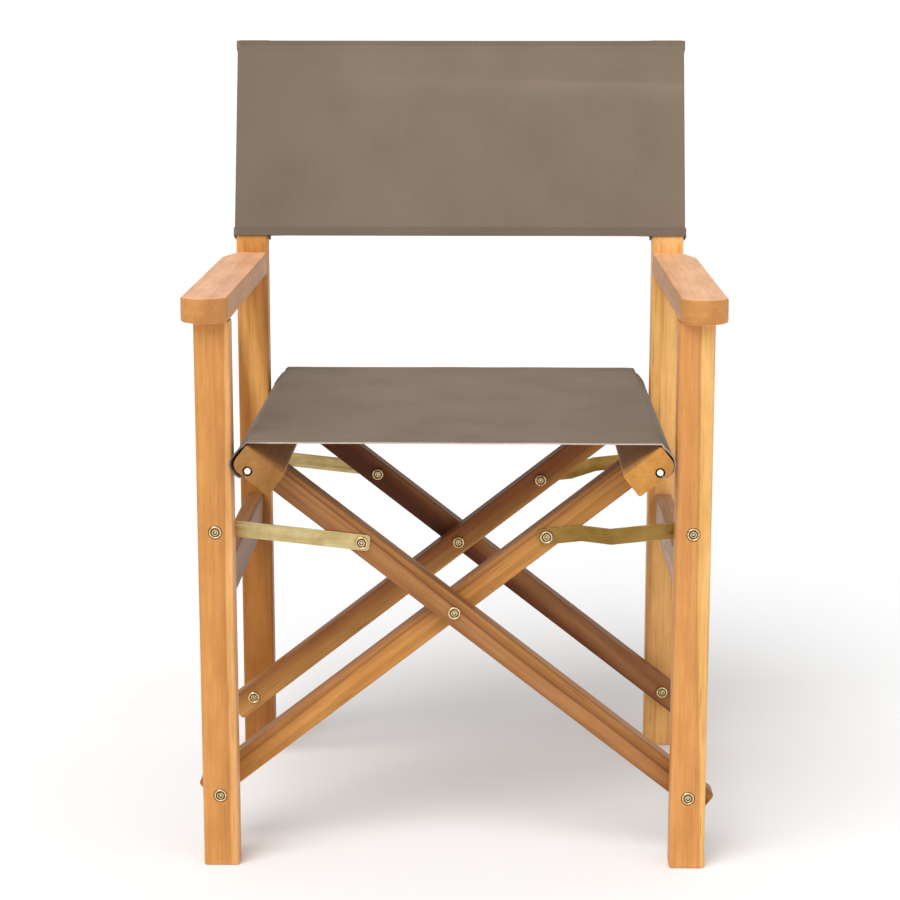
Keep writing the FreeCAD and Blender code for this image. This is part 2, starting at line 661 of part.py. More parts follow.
def fasteners():
    gap = "sizes.joint_gap"
    centre = "sizes.centre_pivot_level"
    post_seat = "sizes.recess_depth - sizes.post_depth"
    bolts_and_nuts(("centre", ""), "0", centre, f"places.outer_bar_layer - {gap}",
                   f"places.inner_bar_end + {gap}")
    front_and_rear("centre_washers", lambda name: ring(name, "sizes.washer_radius", "sizes.washer_thickness"),
                   "0", "places.washer_layer", centre)
    for side in (LEFT, RIGHT):
        suffix = f"_{SIDE_NAMES[side]}"
        post = f"{side} * places.post_across"
        foot = "sizes.foot_pivot_level"
        bar_face = "places.inner_bar_layer" if side == LEFT else "places.outer_bar_layer"
        bolts_and_nuts(("foot", suffix), post, foot, post_seat,
                       f"{bar_face} + sizes.bar_thickness + {gap}")
        radius = "sizes.spacer_radius" if side == LEFT else "sizes.washer_radius"
        length = f"{bar_face} - 2 * {gap}"
        ring_name = "foot_spacers" if side == LEFT else "foot_washers"
        front_and_rear(f"{ring_name}{suffix}", lambda name: ring(name, radius, length), post, gap, foot)
        bar = f"{side} * places.strap_bolt_across"
        strap_face = "places.strap_layer" if side == LEFT else "places.inner_strap_layer"
        bar_end = "places.outer_bar_end" if side == LEFT else "places.inner_bar_end"
        bolts_and_nuts(("strap_bar", suffix), bar, "places.strap_bolt_up", f"{strap_face} - {gap}",
                       f"{bar_end} + {gap}")
        level = "sizes.strap_post_level"
        front_and_rear(f"strap_post_bolts{suffix}",
                       lambda name: bolt(name, "sizes.post_depth - sizes.recess_depth"), post, post_seat, level)
        for end in (FRONT, REAR):
            rivet = nut(f"strap_rivet_{END_NAMES[end]}{suffix}", "sizes.strap_thickness")
            layer_place(rivet, end, post, "places.strap_layer + sizes.strap_thickness", level)
            keep(rivet)


# ---------------------------------------------------------------- dowels

def dowel(name, radius, length, across, back, up, axis=(0, 0, 1), turn="0"):
    """Cylinder from its own origin along its own +Z."""
    pin = doc.addObject("Part::Cylinder", name)
    pin.setExpression("Radius", radius)
    pin.setExpression("Height", length)
    place(pin, across, back, up, axis, turn)
    return pin


def arm_dowels(side):
    name = f"arm_dowels_{SIDE_NAMES[side]}"
    post = f"{side} * places.post_across"
    radius = "sizes.arm_dowel_radius"
    length = "sizes.arm_dowel_length"
    group(name, [
        dowel(f"{name}_front", radius, length, post, "places.front_face + sizes.post_depth / 2",
              "sizes.front_post_height - sizes.arm_dowel_in_post"),
        dowel(f"{name}_rear", radius, length, post, "places.rear_inner + sizes.arm_dowel_in_rear_post",
              "places.arm_dowel_level", (1, 0, 0), "90"),
    ])


def side_rail_dowels(side):
    name = f"side_rail_dowels_{SIDE_NAMES[side]}"
    across = f"{side} * (places.post_across + places.side_rail_outset)"
    starts = {
        FRONT: "places.front_inner + sizes.side_dowel_length - sizes.side_dowel_in_post",
        REAR: "places.rear_inner + sizes.side_dowel_in_post",
    }
    group(name, [
        dowel(f"{name}_{END_NAMES[end]}_{row}", "sizes.side_dowel_radius", "sizes.side_dowel_length", across,
              starts[end], f"places.side_dowel_level + {way} * sizes.side_dowel_spacing / 2", (1, 0, 0), "90")
        for end in (FRONT, REAR) for row, way in (("low", -1), ("high", 1))
    ])


def seat_rail_dowels(rise):
    """Dowels between a pair of bars and their seat rail, along the bars."""
    name = f"seat_rail_dowels_{SIDE_NAMES[rise]}"
    reach = "(places.bar_top - sizes.seat_dowel_length / 2)"
    lift = "sizes.seat_dowel_lift"
    across = f"{rise} * ({reach} * cos(places.bar_angle) - {lift} * sin(places.bar_angle))"
    up = f"sizes.centre_pivot_level + {reach} * sin(places.bar_angle) + {lift} * cos(places.bar_angle)"
    group(name, [
        dowel(f"{name}_{END_NAMES[end]}", "sizes.seat_dowel_radius", "sizes.seat_dowel_length", across,
              bar_middle(end, rise), up, (0, rise, 0), "90 deg - places.bar_angle")
        for end in (FRONT, REAR)
    ])


# ---------------------------------------------------------------- fabric

def seat_fabric():
    """Seat sheet: flat between the rails, then round each rail's outer side into its groove."""
    sheet = add_body("seat_fabric")
    length = "sizes.seat_rail_length - 2 * sizes.seat_sheet_inset"
    thickness = "sizes.sheet_thickness"
    under = "places.crest_up + sizes.sheet_clearance"
    flat = add_sketch(sheet, "XZ_Plane")
    half_flat = f"(places.crest_across + {thickness})"
    draw_box(flat, f"-{half_flat}", half_flat, under, f"{under} + {thickness}")
    add_pad(sheet, flat, length, symmetric=True)
    half_width = "sizes.seat_rail_width / 2"
    half_thick = "sizes.seat_rail_thickness / 2"
    inner = "sizes.sheet_clearance"
    outer = "places.sleeve_reach"
    hem = "sizes.groove_outset"
    rod_top = "(sizes.groove_drop + sizes.seat_rod_radius + sizes.sheet_clearance)"
    corner = "sizes.seat_rail_outer_radius"
    inner_bend = f"({corner} - places.wrap_inner_bend)"
    outer_bend = f"({corner} - places.wrap_outer_bend)"
    for side in (LEFT, RIGHT):
        # Outward along the rail's width, then downward through its thickness.
        # The rail's rounded corner is passed with one slanting run.
        wrap = [
            (f"{half_width} + {inner}", f"-{half_thick} - {inner}"),
            (f"{half_width} + {outer}", f"-{half_thick} - {inner}"),
            (f"{half_width} + {outer}", f"{half_thick} - {outer_bend}"),
            (f"{half_width} - {outer_bend}", f"{half_thick} + {outer}"),
            (f"{hem} - {thickness} / 2", f"{half_thick} + {outer}"),
            (f"{hem} - {thickness} / 2", rod_top),
            (f"{hem} + {thickness} / 2", rod_top),
            (f"{hem} + {thickness} / 2", f"{half_thick} + {inner}"),
            (f"{half_width} - {inner_bend}", f"{half_thick} + {inner}"),
            (f"{half_width} + {inner}", f"{half_thick} - {inner_bend}"),
        ]
        along = "cos(places.bar_angle)"
        rise = "sin(places.bar_angle)"
        section = add_sketch(sheet, "XZ_Plane")
        draw_outline(section, [
            (f"{side} * (places.seat_rail_across + ({out}) * {along} + ({down}) * {rise})",
             f"places.seat_rail_up + ({out}) * {rise} - ({down}) * {along}")
            for out, down in wrap
        ])
        add_pad(sheet, section, length, symmetric=True)
    place(sheet, "0", "places.seat_rail_back", "0")
    return keep(sheet)


def back_fabric():
    """Back sheet in front of the rear posts, with a sleeve round each.

    Its own origin is where the posts' front faces bend, and +Z runs up along the posts.
    """
    sheet = add_body("back_fabric")
    gap = "sizes.sheet_clearance"
    reach = "places.sleeve_reach"
    half = "sizes.post_width / 2"
    section = add_sketch(sheet, "XY_Plane", "places.back_sheet_start")
    outside = f"places.post_across + {half} + {reach}"
    inside = f"places.post_across - {half} - {reach}"
    front = f"-{reach}"
    rear = f"sizes.post_depth + {reach}"
    draw_outline(section, [
        (f"-({outside})", front),
        (outside, front),
        (outside, rear),
        (inside, rear),
        (inside, f"-{gap}"),
        (f"-({inside})", f"-{gap}"),
        (f"-({inside})", rear),
        (f"-({outside})", rear),
    ])
    for side in (LEFT, RIGHT):
        draw_box(section, f"{side} * places.post_across - {half} - {gap}",
                 f"{side} * places.post_across + {half} + {gap}", f"-{gap}", f"sizes.post_depth + {gap}")
    add_pad(sheet, section, "places.back_sheet_end - places.back_sheet_start")
    place(sheet, "0", "places.rear_inner", "sizes.bend_level", (-1, 0, 0), "sizes.back_lean")
    return keep(sheet)


# ---------------------------------------------------------------- the chair

def check_document():
    """Stop if any object has failed or any sub-part has no valid shape."""
    for item in doc.Objects:
        if "Invalid" in item.State or "Error" in item.State:
            raise RuntimeError(f"{item.Label} failed: {item.State}")
    for part in parts:
        if part.Shape.isNull() or not part.Shape.isValid():
            raise RuntimeError(f"{part.Label} has no valid shape")


add_sheet("sizes", SIZES)
add_sheet("places", PLACES)
doc.recompute()

for side in (LEFT, RIGHT):
    front_post(side)
    rear_post(side)
    armrest(side)
    side_rail(side)
    arm_dowels(side)
    side_rail_dowels(side)
for rise in (RISES_LEFT, RISES_RIGHT):
    seat_rail(rise)
    seat_rod(rise)
    seat_rail_dowels(rise)
    for end in (FRONT, REAR):
        cross_bar(end, rise)
        strap(end, rise)
fasteners()
seat_fabric()
back_fabric()

doc.recompute()
check_document()
os.makedirs("parts", exist_ok=True)
for part in parts:
    part.Shape.exportStep(f"parts/{part.Label}.step")
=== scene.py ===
"""Folding director's chair in oiled hardwood, with a woven seat and back.

Each section below is one piece of the chair, or one group of like pieces, in the order that a maker
puts it together.
"""
import math

import bpy
from mathutils import Matrix, Vector, noise
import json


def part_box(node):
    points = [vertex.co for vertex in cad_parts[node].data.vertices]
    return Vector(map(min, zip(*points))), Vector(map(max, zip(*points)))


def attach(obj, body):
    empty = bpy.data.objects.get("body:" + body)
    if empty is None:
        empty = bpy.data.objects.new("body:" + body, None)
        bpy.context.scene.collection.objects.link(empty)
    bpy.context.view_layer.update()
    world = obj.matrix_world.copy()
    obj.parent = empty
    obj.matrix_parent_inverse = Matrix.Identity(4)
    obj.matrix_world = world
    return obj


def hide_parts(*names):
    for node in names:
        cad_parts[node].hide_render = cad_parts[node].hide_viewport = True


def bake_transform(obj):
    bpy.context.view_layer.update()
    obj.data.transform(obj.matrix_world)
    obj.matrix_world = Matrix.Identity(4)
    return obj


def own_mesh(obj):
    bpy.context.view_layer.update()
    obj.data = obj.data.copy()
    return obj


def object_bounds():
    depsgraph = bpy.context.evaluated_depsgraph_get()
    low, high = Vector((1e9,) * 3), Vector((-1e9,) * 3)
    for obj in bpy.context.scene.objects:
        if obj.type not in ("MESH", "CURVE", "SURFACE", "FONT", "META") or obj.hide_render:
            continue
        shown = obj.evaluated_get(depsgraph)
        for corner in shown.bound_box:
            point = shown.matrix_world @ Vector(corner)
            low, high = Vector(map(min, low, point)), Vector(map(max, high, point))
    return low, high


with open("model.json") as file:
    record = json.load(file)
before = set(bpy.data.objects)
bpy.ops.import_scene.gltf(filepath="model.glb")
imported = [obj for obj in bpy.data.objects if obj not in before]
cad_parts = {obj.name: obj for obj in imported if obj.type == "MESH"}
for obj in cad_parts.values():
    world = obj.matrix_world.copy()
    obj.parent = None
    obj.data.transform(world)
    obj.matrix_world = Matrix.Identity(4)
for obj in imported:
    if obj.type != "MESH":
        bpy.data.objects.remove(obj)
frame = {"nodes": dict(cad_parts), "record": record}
cad_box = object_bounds()


# ---------------------------------------------------------------- front posts
# The two square front legs, sawn from plantation hardwood and oiled. Each is one straight stick with its
# edges eased and a paler strip of sapwood down its right side. The arm is dowelled on top of it.

def linear(code):
    """An sRGB hex colour as linear light."""
    shares = [int(code[at:at + 2], 16) / 255 for at in (1, 3, 5)]
    return [s / 12.92 if s <= 0.04045 else ((s + 0.055) / 1.055) ** 2.4 for s in shares] + [1.0]


def node(tree, kind, inputs=(), stops=(), **settings):
    """Adds a shader node with its settings, and links or fills its sockets."""
    made = tree.nodes.new("ShaderNode" + kind)
    for name, value in settings.items():
        setattr(made, name, value)
    for number, (at, colour) in enumerate(stops):
        if number < 2:
            made.color_ramp.elements[number].position = at
        else:
            made.color_ramp.elements.new(at)
    for stop, (at, colour) in zip(made.color_ramp.elements if stops else (), sorted(stops)):
        stop.color = colour
    for socket, value in dict(inputs).items():
        if isinstance(value, bpy.types.NodeSocket):
            tree.links.new(value, made.inputs[socket])
        else:
            made.inputs[socket].default_value = value
    return made


def new_material(name):
    """An empty material and the shader that its nodes lead to."""
    material = bpy.data.materials.new(name)
    material.use_nodes = True
    return material, material.node_tree, material.node_tree.nodes["Principled BSDF"]


def finish_nodes(material, *names):
    """Gives the kept solids of those names this finish."""
    for name in names:
        piece = frame["nodes"][name]
        piece.data.materials.clear()
        piece.data.materials.append(material)


def middle(name):
    """The middle of a solid's box."""
    low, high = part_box(name)
    return (low + high) / 2


def oiled_wood(board, turn, width, bands, streak, skew=0.3, slant=0.0, figure=0.3,
               facing=(0.0, 0.0, 1.0), face_tone=(1.0, 1.0, 1.0)):
    """Finishes a board in oiled acacia: bands of colour across it, and fine dark lines along its grain.

    turn lays the grain's Z along the board, and bands are (place across, colour) pairs. slant leans the
    bands along the board, figure is how strongly the darker heart lines show, and face_tone is how much
    lighter or darker the faces that face that way are than the others.
    """
    material, tree, shader = new_material("oiled_acacia_" + board)
    spot = node(tree, "TexCoord").outputs["Object"]
    lie = node(tree, "Mapping", {"Vector": spot, "Location": middle(board), "Rotation": turn},
               vector_type="TEXTURE").outputs["Vector"]
    # The bands wander by about 4 mm over a quarter of a metre.
    wandering = 0.01
    slow = node(tree, "Mapping", {"Vector": lie, "Scale": (22, 22, 3.5)}).outputs["Vector"]
    wander = node(tree, "TexNoise", {"Vector": slow, "Scale": 1.0, "Detail": 2.0}).outputs["Fac"]
    axes = node(tree, "SeparateXYZ", {"Vector": lie}).outputs
    across = axes["X"]
    for share, way in ((skew, axes["Y"]), (slant, axes["Z"]), (wandering, wander)):
        across = node(tree, "Math", {0: way, 1: share, 2: across}, operation="MULTIPLY_ADD").outputs[0]
    place = node(tree, "MapRange", {"Value": across, "From Min": wandering / 2 - width / 2,
                                    "From Max": wandering / 2 + width / 2}).outputs["Result"]
    toned = node(tree, "ValToRGB", {"Fac": place}, [(at, linear(code)) for at, code in bands])
    toned = toned.outputs["Color"]
    # Three sizes of grain darken or lighten it, and the dark is redder: cloudy patches 70 mm long where
    # the oil went in further, growth lines 3 mm across and 110 mm long, and combed lines 0.8 mm across.
    for scale, dark, light in (((50, 50, 14), 0.84, 1.06), ((330, 240, 9), 0.93, 1.04),
                               ((1200, 900, 20), 0.95, 1.03)):
        stretched = node(tree, "Mapping", {"Vector": lie, "Scale": scale}).outputs["Vector"]
        lines = node(tree, "TexNoise", {"Vector": stretched, "Scale": 1.0, "Detail": 3.0,
                                        "Roughness": 0.6}).outputs["Fac"]
        depth = node(tree, "MapRange", {"Value": lines, "From Min": 0.3, "From Max": 0.7,
                                        "To Min": dark, "To Max": light}).outputs["Result"]
        blue = node(tree, "Math", {0: depth, 1: 1.8}, operation="POWER").outputs[0]
        green = node(tree, "Math", {0: depth, 1: 1.2}, operation="POWER").outputs[0]
        tint = node(tree, "CombineXYZ", {"X": depth, "Y": green, "Z": blue}).outputs["Vector"]
        toned = node(tree, "Mix", {"Factor": 1.0, 6: toned, 7: tint}, data_type="RGBA",
                     blend_type="MULTIPLY").outputs[2]
    # Dark marks along the grain: heart lines 4 mm wide and 200 mm long, hairline mineral streaks under
    # 1 mm wide and 50 mm long, and pores, which are dashes 5 mm long, drawn 0.6 mm wide so that they show.
    for scale, shift, low, high, most in (((190, 130, 4.5), (9, 4, 2), 0.55, 0.72, figure),
                                          ((620, 400, 14), (3, 5, 7), 0.67, 0.74, 0.6),
                                          ((1500, 1500, 190), (0, 0, 0), 0.62, 0.8, 0.3)):
        stretched = node(tree, "Mapping", {"Vector": lie, "Location": shift, "Scale": scale})
        mark = node(tree, "TexNoise", {"Vector": stretched.outputs["Vector"], "Scale": 1.0,
                                       "Detail": 2.0}).outputs["Fac"]
        mark = node(tree, "MapRange", {"Value": mark, "From Min": low, "From Max": high,
                                       "To Max": most}).outputs["Result"]
        toned = node(tree, "Mix", {"Factor": mark, 6: toned, 7: linear(streak)},
                     data_type="RGBA").outputs[2]
    # Faces that face one way are toned apart: the seat rails' end grain, and on the arms' tops a painted
    # sheen of reflected light.
    way = node(tree, "TexCoord").outputs["Normal"]
    square = node(tree, "VectorMath", {0: way, 1: facing}, operation="DOT_PRODUCT").outputs["Value"]
    square = node(tree, "Math", {0: square}, operation="ABSOLUTE").outputs[0]
    square = node(tree, "MapRange", {"Value": square, "From Min": 0.6, "From Max": 0.85}).outputs["Result"]
    toned = node(tree, "Mix", {"Factor": square, 6: toned, 7: (*face_tone, 1.0)}, data_type="RGBA",
                 blend_type="MULTIPLY").outputs[2]
    gloss = node(tree, "MapRange", {"Value": lines, "From Min": 0.3, "From Max": 0.7,
                                    "To Min": 0.53, "To Max": 0.42}).outputs["Result"]
    relief = node(tree, "Bump", {"Height": lines, "Strength": 0.3, "Distance": 0.0003}).outputs["Normal"]
    tree.links.new(toned, shader.inputs["Base Color"])
    tree.links.new(gloss, shader.inputs["Roughness"])
    tree.links.new(relief, shader.inputs["Normal"])
    shader.inputs["IOR"].default_value = 1.48
    shader.inputs["Specular IOR Level"].default_value = 0.2
    finish_nodes(material, board)
    return material


upright = (0, 0, 0)
post_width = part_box("front_post_left")[1].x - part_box("front_post_left")[0].x
for side, slant, bands in (
    ("left", -0.006, [(0.0, "#D69653"), (0.3, "#D49554"), (0.58, "#CE8F50"), (0.68, "#C6884C"),
                      (0.71, "#E1A666"), (0.9, "#E6AD71"), (1.0, "#DEA36F")]),
    ("right", 0.0175, [(0.0, "#DB9A5B"), (0.25, "#D79555"), (0.45, "#D9995B"), (0.58, "#D39155"),
                       (0.62, "#EAB46A"), (0.86, "#EBB872"), (1.0, "#E5B17B")]),
):
    oiled_wood("front_post_" + side, upright, post_width, bands, "#9A6432", slant=slant, figure=0.25)

# ---------------------------------------------------------------- rear posts
# The two rear legs, sawn to a slant above the arms so that the back leans. Same stick and oil as the
# front ones: the left is browner heartwood, and the right is yellower with more pores.

for side, slant, bands in (
    # The left post's bands lean steeply: browner at the foot and lighter higher up. The lightest band, just
    # under the arm, is painted light to offset the arm's shadow.
    ("left", 0.16, [(0.0, "#AD7136"), (0.25, "#B2763A"), (0.42, "#CF9250"), (0.6, "#E8AA62"),
                    (0.86, "#E2A359"), (1.0, "#CB8E4A")]),
    ("right", 0.03, [(0.0, "#ECB36E"), (0.3, "#F2B970"), (0.7, "#F7C078"), (1.0, "#F0B66E")]),
):
    oiled_wood("rear_post_" + side, upright, post_width, bands, "#8A5527", skew=0.05, slant=slant,
               figure=0.35)

# ---------------------------------------------------------------- side rails
# One board between the front and the rear post of each side, dowelled at both ends. It is a darker,
# redder board, with its grain running from front to back.

front_to_back = (-math.pi / 2, 0, 0)
side_rail_height = 0.044
for side, bands in (
    ("left", [(0.0, "#976A42"), (0.5, "#AC7C54"), (1.0, "#8F6542")]),
    # The right rail's bands are paler and greyer, partly as a painted reflection of the room's white light
    # at a grazing angle.
    ("right", [(0.0, "#C49E7C"), (0.5, "#DAB28C"), (1.0, "#B99376")]),
):
    oiled_wood("side_rail_" + side, front_to_back, side_rail_height, bands, "#5E3A22", skew=1.0)

# ---------------------------------------------------------------- arms
# Flat boards on top of the posts, with clipped corners at the rear and a rounded nose in front. Their
# grain runs along the arm, and their tops are painted paler and pinker, as a painted sheen of reflected
# light.

# The arms' tops are painted paler and pinker, as a sheen of reflected light.
arm_width, painted_top_sheen = 0.05, (1.5, 1.85, 3.5)
for side, bands in (
    ("left", [(0.0, "#C6894D"), (0.35, "#CD9154"), (0.6, "#C2844C"), (1.0, "#CD9156")]),
    ("right", [(0.0, "#C6894C"), (0.4, "#CF9254"), (0.7, "#C88C4F"), (1.0, "#CD9053")]),
):
    oiled_wood("armrest_" + side, front_to_back, arm_width, bands, "#A86E42", figure=0.15,
               face_tone=painted_top_sheen)


# ---------------------------------------------------------------- dowels
# Turned beech pegs glued into the posts, arms, side rails and crossed bars. They are hidden once the
# joints close.

def flecked(name, grain, detail, dark, light, roughness, low=0.3, high=0.7):
    """A plain finish in two tones, whose flecks are about 1 / grain metres across."""
    material, tree, shader = new_material(name)
    spot = node(tree, "TexCoord").outputs["Object"]
    fleck = node(tree, "TexNoise", {"Vector": spot, "Scale": grain, "Detail": detail}).outputs["Fac"]
    tone = node(tree, "ValToRGB", {"Fac": fleck}, [(low, linear(dark)), (high, linear(light))])
    tree.links.new(tone.outputs["Color"], shader.inputs["Base Color"])
    shader.inputs["Roughness"].default_value = roughness
    return material, tree, shader


# Unoiled beech: pale and matt, with short flecks 2.5 mm across.
beech = flecked("turned_beech_dowel", 400.0, 3.0, "#C99F6E", "#DDB98A", 0.6)[0]
for pegs in ("arm_dowels_", "side_rail_dowels_", "seat_rail_dowels_"):
    finish_nodes(beech, pegs + "left", pegs + "right")

# ---------------------------------------------------------------- crossed bars
# Four sticks that cross in pairs, one pair behind the front posts and one before the rear ones. They
# turn on bolts at the feet and where they cross, and carry the seat rails at the top. Their grain runs
# along the stick.

bar_angle, bar_width = math.radians(38.1), 0.029
rising_right = (0, math.pi / 2 - bar_angle, 0)
rising_left = (0, bar_angle - math.pi / 2, 0)
for name, turn, slant, figure, bands in (
    ("cross_bar_front_outer", rising_left, -0.012, 0.35,
     [(0.0, "#9C683E"), (0.2, "#AF7A4A"), (0.48, "#AC784A"), (0.54, "#80502B"), (0.64, "#A06B3E"),
      (0.86, "#AC7740"), (0.93, "#8C5B35"), (1.0, "#B58558")]),
    ("cross_bar_front_inner", rising_right, 0.01, 0.3,
     [(0.0, "#B07844"), (0.08, "#9A6434"), (0.16, "#BF8445"), (0.4, "#CD9150"), (0.6, "#C08543"),
      (0.8, "#C98D49"), (1.0, "#BF8445")]),
    # The rear bars darken towards their upper ends, partly as darker wood and partly as painted shade from
    # the seat above them.
    ("cross_bar_rear_outer", rising_left, -0.06, 0.4,
     [(0.0, "#5C2E17"), (0.3, "#743F20"), (0.5, "#8F5C36"), (0.75, "#A37148"), (1.0, "#976541")]),
    ("cross_bar_rear_inner", rising_right, -0.03, 0.4,
     [(0.0, "#8F562F"), (0.3, "#9F6A38"), (0.6, "#B68044"), (0.8, "#C28C4D"), (1.0, "#BC874A")]),
):
    oiled_wood(name, turn, bar_width, bands, "#60381A", slant=slant, figure=figure)

# ---------------------------------------------------------------- seat rails
# Two rails dowelled across the tops of the bars, tilted as the bars are. A keyhole groove under each
# one's outer side takes the hem of the seat. Their sawn ends face the front.

band_span, groove_radius = 0.06, 0.005
for side, end_tone, bands in (
    ("left", (0.72, 0.75, 0.69), [(0.0, "#B98048"), (0.4, "#C48A4E"), (0.75, "#AE7640"), (1.0, "#BD8448")]),
    ("right", (1.01, 0.98, 0.8), [(0.0, "#C58A4C"), (0.5, "#CE9352"), (0.8, "#BE8446"), (1.0, "#C98E4E")]),
):
    material = oiled_wood("seat_rail_" + side, front_to_back, band_span, bands, "#7A4A24",
                          facing=(0.0, 1.0, 0.0), face_tone=end_tone)
    # The routed groove round the rod is painted dark, as painted shade deep inside it.
    tree, shader = material.node_tree, material.node_tree.nodes["Principled BSDF"]
    off = node(tree, "TexCoord").outputs["Object"]
    for step, other in (("SUBTRACT", middle("seat_rod_" + side)), ("MULTIPLY", (1.0, 0.0, 1.0))):
        off = node(tree, "VectorMath", {0: off, 1: other}, operation=step).outputs["Vector"]
    far = node(tree, "VectorMath", {0: off}, operation="LENGTH").outputs["Value"]
    painted_shade_tint = node(tree, "MapRange", {"Value": far, "From Min": groove_radius,
                                   "From Max": groove_radius + 0.0006, "To Min": 0.08}).outputs["Result"]
    toned = node(tree, "Mix", {"Factor": 1.0, 6: shader.inputs["Base Color"].links[0].from_socket, 7: painted_shade_tint},
                 data_type="RGBA", blend_type="MULTIPLY").outputs[2]
    tree.links.new(toned, shader.inputs["Base Color"])


# ---------------------------------------------------------------- bolts, nuts and washers
# Brass-plated steel furniture bolts with sleeve nuts. Each head is turned with a raised rim, a groove
# and a boss, and a hex socket is pressed into the boss. The rims are bright, and the grooves and sockets
# are dark with tarnish and a painted shade of their hollows.

def metal(name, dark, middling, light, dull, bright):
    """Plated or rolled brass. Handling marks about 2 mm across change its tone and its gloss."""
    material, tree, shader = new_material(name)
    spot = node(tree, "TexCoord").outputs["Object"]
    mark = node(tree, "TexNoise", {"Vector": spot, "Scale": 500.0, "Detail": 4.0}).outputs["Fac"]
    tone = node(tree, "ValToRGB", {"Fac": mark}, [(0.3, linear(dark)), (0.5, linear(middling)),
                                                 (0.75, linear(light))])
    gloss = node(tree, "MapRange", {"Value": mark, "To Min": bright, "To Max": dull}).outputs["Result"]
    tree.links.new(tone.outputs["Color"], shader.inputs["Base Color"])
    tree.links.new(gloss, shader.inputs["Roughness"])
    shader.inputs["Metallic"].default_value = 1.0
    return material


def select_only(*pieces):
    """Selects those pieces and nothing else, and makes the first one active."""
    bpy.ops.object.select_all(action="DESELECT")
    for piece in pieces:
        piece.select_set(True)
    if pieces:
        bpy.context.view_layer.objects.active = pieces[0]


def pick(piece, wanted):
    """Selects the faces of a piece that pass a test of their middle and normal, and enters edit mode."""
    bpy.ops.object.mode_set(mode="EDIT")
    bpy.ops.mesh.select_mode(type="FACE")
    bpy.ops.mesh.select_all(action="DESELECT")
    bpy.ops.object.mode_set(mode="OBJECT")
    for face in piece.data.polygons:
        face.select = wanted(face.center, face.normal)
    bpy.ops.object.mode_set(mode="EDIT")


def smooth(angle):
    """Shades the active piece smooth, apart from its edges that turn more than that many degrees."""
    bpy.ops.object.shade_smooth_by_angle(angle=math.radians(angle))


head_radius, shank_radius = 0.0069, 0.003
socket_flats, socket_depth = 0.0047, 0.0016
# The rim's round, the groove, and the boss, as (inward, upward) cuts from the head's straight side.
head_side_drop = 0.001
head_cuts = ((0.0003, 0.0005), (0.0005, 0.0004), (0.0006, 0.0001), (0.0004, -0.0002), (0.0004, -0.0007),
             (0.0009, -0.0001), (0.0003, 0.0006), (0.0005, 0.0002), (0.0002, 0.0), (0.0001, 0.0))
groove_shade_span, socket_shade_span = (0.0036, 0.0051), (0.0003, 0.0029)


def turned_head(name, rise, shank):
    """A head on Z = 0 that rises by that much, with a shank of unit length under it if it is a bolt's."""
    select_only()
    side = rise - head_side_drop
    bpy.ops.mesh.primitive_cylinder_add(vertices=48, radius=head_radius, depth=side,
                                        location=(0, 0, side / 2))
    bpy.ops.object.transform_apply(location=True)
    head = bpy.context.object
    head.name = name
    pick(head, lambda spot, facing: facing.z > 0.9)
    for inward, upward in head_cuts:
        bpy.ops.mesh.inset(thickness=inward, depth=upward)
    bpy.ops.object.mode_set(mode="OBJECT")
    # The last cut's corners move to the hexagon of the socket.
    for vertex in [v for v in head.data.vertices if v.select]:
        angle = math.atan2(vertex.co.y, vertex.co.x) % (math.pi / 3) - math.pi / 6
        vertex.co.xy = vertex.co.xy.normalized() * (socket_flats / 2 / math.cos(angle))
    bpy.ops.object.mode_set(mode="EDIT")
    bpy.ops.mesh.extrude_region_move(TRANSFORM_OT_translate={"value": (0, 0, -socket_depth)})
    # The punch leaves a low nub in the socket's floor.
    bpy.ops.mesh.inset(thickness=0.0009, depth=0.0)
    bpy.ops.mesh.extrude_region_move(TRANSFORM_OT_translate={"value": (0, 0, 0.0004)})
    if shank:
        pick(head, lambda spot, facing: facing.z < -0.9)
        bpy.ops.mesh.inset(thickness=head_radius - shank_radius, depth=0.0)
        bpy.ops.mesh.extrude_region_move(TRANSFORM_OT_translate={"value": (0, 0, -1.0)})
    bpy.ops.object.mode_set(mode="OBJECT")
    head.data.materials.append(plated)
    head.data.materials.append(tarnish_and_painted_shade)
    # Faces in the groove and the socket get the dark finish: tarnish, and painted shade in those hollows.
    for face in head.data.polygons:
        out = face.center.xy.length
        in_groove = groove_shade_span[0] < out < groove_shade_span[1]
        in_socket = socket_shade_span[0] < out < socket_shade_span[1] and face.center.z < rise - 0.0005
        face.material_index = 1 if face.center.z > 0.0001 and (in_groove or in_socket) else 0
    smooth(35)
    return head


def place_heads(stands_for, model, spots):
    """Copies of a head at those spots, joined: each is (x, bearing face, z, way it faces, shank length)."""
    name, copies = "turned_" + stands_for, []
    for number, (x, y, z, faces, length) in enumerate(spots):
        copy = bpy.data.objects.new(name, model.data.copy())
        bpy.context.collection.objects.link(copy)
        for vertex in copy.data.vertices:
            if vertex.co.z < -0.5:
                vertex.co.z = -length
        # Each socket stopped at its own angle when it was tightened.
        spin = Matrix.Rotation(0.4 + 1.3 * number + 20 * x, 4, "Z")
        lie = Matrix.Rotation(-faces * math.pi / 2, 4, "X")
        copy.data.transform(Matrix.Translation((x, y, z)) @ lie @ spin)
        copies.append(copy)
    select_only(*copies)
    bpy.ops.object.join()
    piece = bpy.context.object
    piece.name = piece.data.name = name
    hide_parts(stands_for)
    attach(piece, body_of[stands_for])


